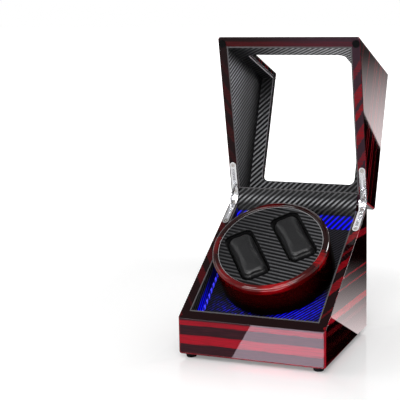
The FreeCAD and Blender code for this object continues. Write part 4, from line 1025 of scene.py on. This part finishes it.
SIDE_X = (0.086, 0.220)
SIDE_SLANT = (0.058, 0.215)
SIDE_FRONT = -0.090
SIDE_BREAK = 0.300
SIDE_BACK = 0.830
SIDE_BACK_X = 0.400
SIDE_LIGHT = (3.5, 0.0)
SIDE_FADE = (60.0, 450.0)
near_x, far_x = SIDE_X
near_y, far_y = SIDE_SLANT
corners = on_table((near_x, SIDE_FRONT), (far_x, SIDE_FRONT), (far_x, far_y), (near_x, near_y))
reflector("side_shade", corners, EVEN, UNLIT)
corners = on_table((near_x, near_y), (far_x, far_y), (far_x, SIDE_BREAK), (near_x, SIDE_BREAK))
reflector("side_card", corners, SIDE_FADE, SIDE_LIGHT, ROSE)
corners = on_table(
    (near_x, SIDE_BREAK), (SIDE_BACK_X, SIDE_BREAK), (SIDE_BACK_X, SIDE_BACK), (near_x, SIDE_BACK)
)
reflector("side_card_back", corners, SIDE_FADE, SIDE_LIGHT, ROSE)

LID_X = (0.203, 2.500)
LID_SLANT = (0.831, 7.955)
LID_BACK = 8.500
LID_LIGHT = (3.4, 0.12)
LID_FADE = (1650.0, 5600.0)
near_x, far_x = LID_X
near_y, far_y = LID_SLANT
corners = on_table((near_x, near_y), (far_x, near_y), (far_x, far_y))
reflector("lid_shade", corners, EVEN, UNLIT)
corners = on_table((near_x, near_y), (far_x, far_y), (far_x, LID_BACK), (near_x, LID_BACK))
reflector("lid_card", corners, LID_FADE, LID_LIGHT, ROSE)

ROOM_LIGHT = 0.45
CEILING_BAND = (0.10, 0.55)
CEILING_LIGHT = (0.85, 0.34)
scene.world = bpy.data.worlds.new("white_room")
scene.world.use_nodes = True
room = Graph(scene.world.node_tree)
path = room.node("LightPath").outputs
through = room.math("SUBTRACT", path["Is Transmission Ray"], path["Diffuse Depth"])
seen = room.math("MAXIMUM", path["Is Camera Ray"], through)
upward = room.node("SeparateXYZ", room.node("TexCoord").outputs["Generated"]).outputs["Z"]
ceiling = room.node("MapRange", upward, *CEILING_BAND, *CEILING_LIGHT).outputs[0]
mirrored = room.node("Mix", path["Is Glossy Ray"], None, ROOM_LIGHT, ceiling).outputs[0]
indoors = room.node("Mix", path["Is Transmission Ray"], None, mirrored, 0.0).outputs[0]
strength = room.node("Mix", seen, None, indoors, 1.0).outputs[0]
background = room.tree.nodes["Background"]
room.feed(background.inputs["Color"], WHITE)
room.feed(background.inputs["Strength"], strength)


def soft_lamp(name, width, height, power, place, target, only_mirrored=False):
    """An oblong lamp at a place, turned to face a target; one that is only mirrored gives no other light."""
    lamp = bpy.data.lights.new(name, "AREA")
    lamp.shape = "RECTANGLE"
    lamp.size = width
    lamp.size_y = height
    lamp.energy = power
    made = bpy.data.objects.new(name, lamp)
    scene.collection.objects.link(made)
    made.location = place
    made.rotation_euler = (Vector(target) - Vector(place)).to_track_quat("-Z", "Y").to_euler()
    made.visible_camera = False
    made.visible_transmission = False
    made.visible_diffuse = not only_mirrored


OBJECT_MIDDLE = (0.0, 0.0, 0.12)
soft_lamp("front_lamp", 1.2, 1.2, 26.0, (0.5, -1.6, 1.7), OBJECT_MIDDLE)
soft_lamp("left_lamp", 0.8, 0.8, 4.5, (-1.5, -0.4, 1.2), OBJECT_MIDDLE)
soft_lamp("right_glint", 0.6, 0.6, 34.0, (1.8, 1.4, 0.95), OBJECT_MIDDLE, only_mirrored=True)
soft_lamp("left_glint", 0.5, 0.5, 13.0, (-0.95, -1.57, 1.7), OBJECT_MIDDLE, only_mirrored=True)
soft_lamp("ring_glint", 2.8, 0.26, 44.0, (0.15, -1.5, 0.20), OBJECT_MIDDLE, only_mirrored=True)

YAW = math.radians(22.947)
ELEVATION = math.radians(10.473)
ROLL = math.radians(-1.179)
AIM = Vector((0.0, 0.0, 0.100))
AIM_OFFSET = (-0.08548, 0.06733, 1.33553)
FOCAL = 1174.33
IMAGE_WIDTH = 400.0
SENSOR = 36.0
back = Vector((
    math.sin(YAW) * math.cos(ELEVATION), -math.cos(YAW) * math.cos(ELEVATION), math.sin(ELEVATION)
))
level_right = Vector((math.cos(YAW), math.sin(YAW), 0.0))
level_up = back.cross(level_right)
right = level_right * math.cos(ROLL) + level_up * math.sin(ROLL)
up = level_up * math.cos(ROLL) - level_right * math.sin(ROLL)
eye = AIM + right * AIM_OFFSET[0] + up * AIM_OFFSET[1] + back * AIM_OFFSET[2]
camera = bpy.data.objects.new("camera", bpy.data.cameras.new("camera"))
scene.collection.objects.link(camera)
camera.data.sensor_width = SENSOR
camera.data.lens = FOCAL / IMAGE_WIDTH * SENSOR
camera.data.clip_end = 50.0
axes = Matrix((right, up, back)).transposed().to_4x4()
camera.matrix_world = Matrix.Translation(eye) @ axes
scene.camera = camera
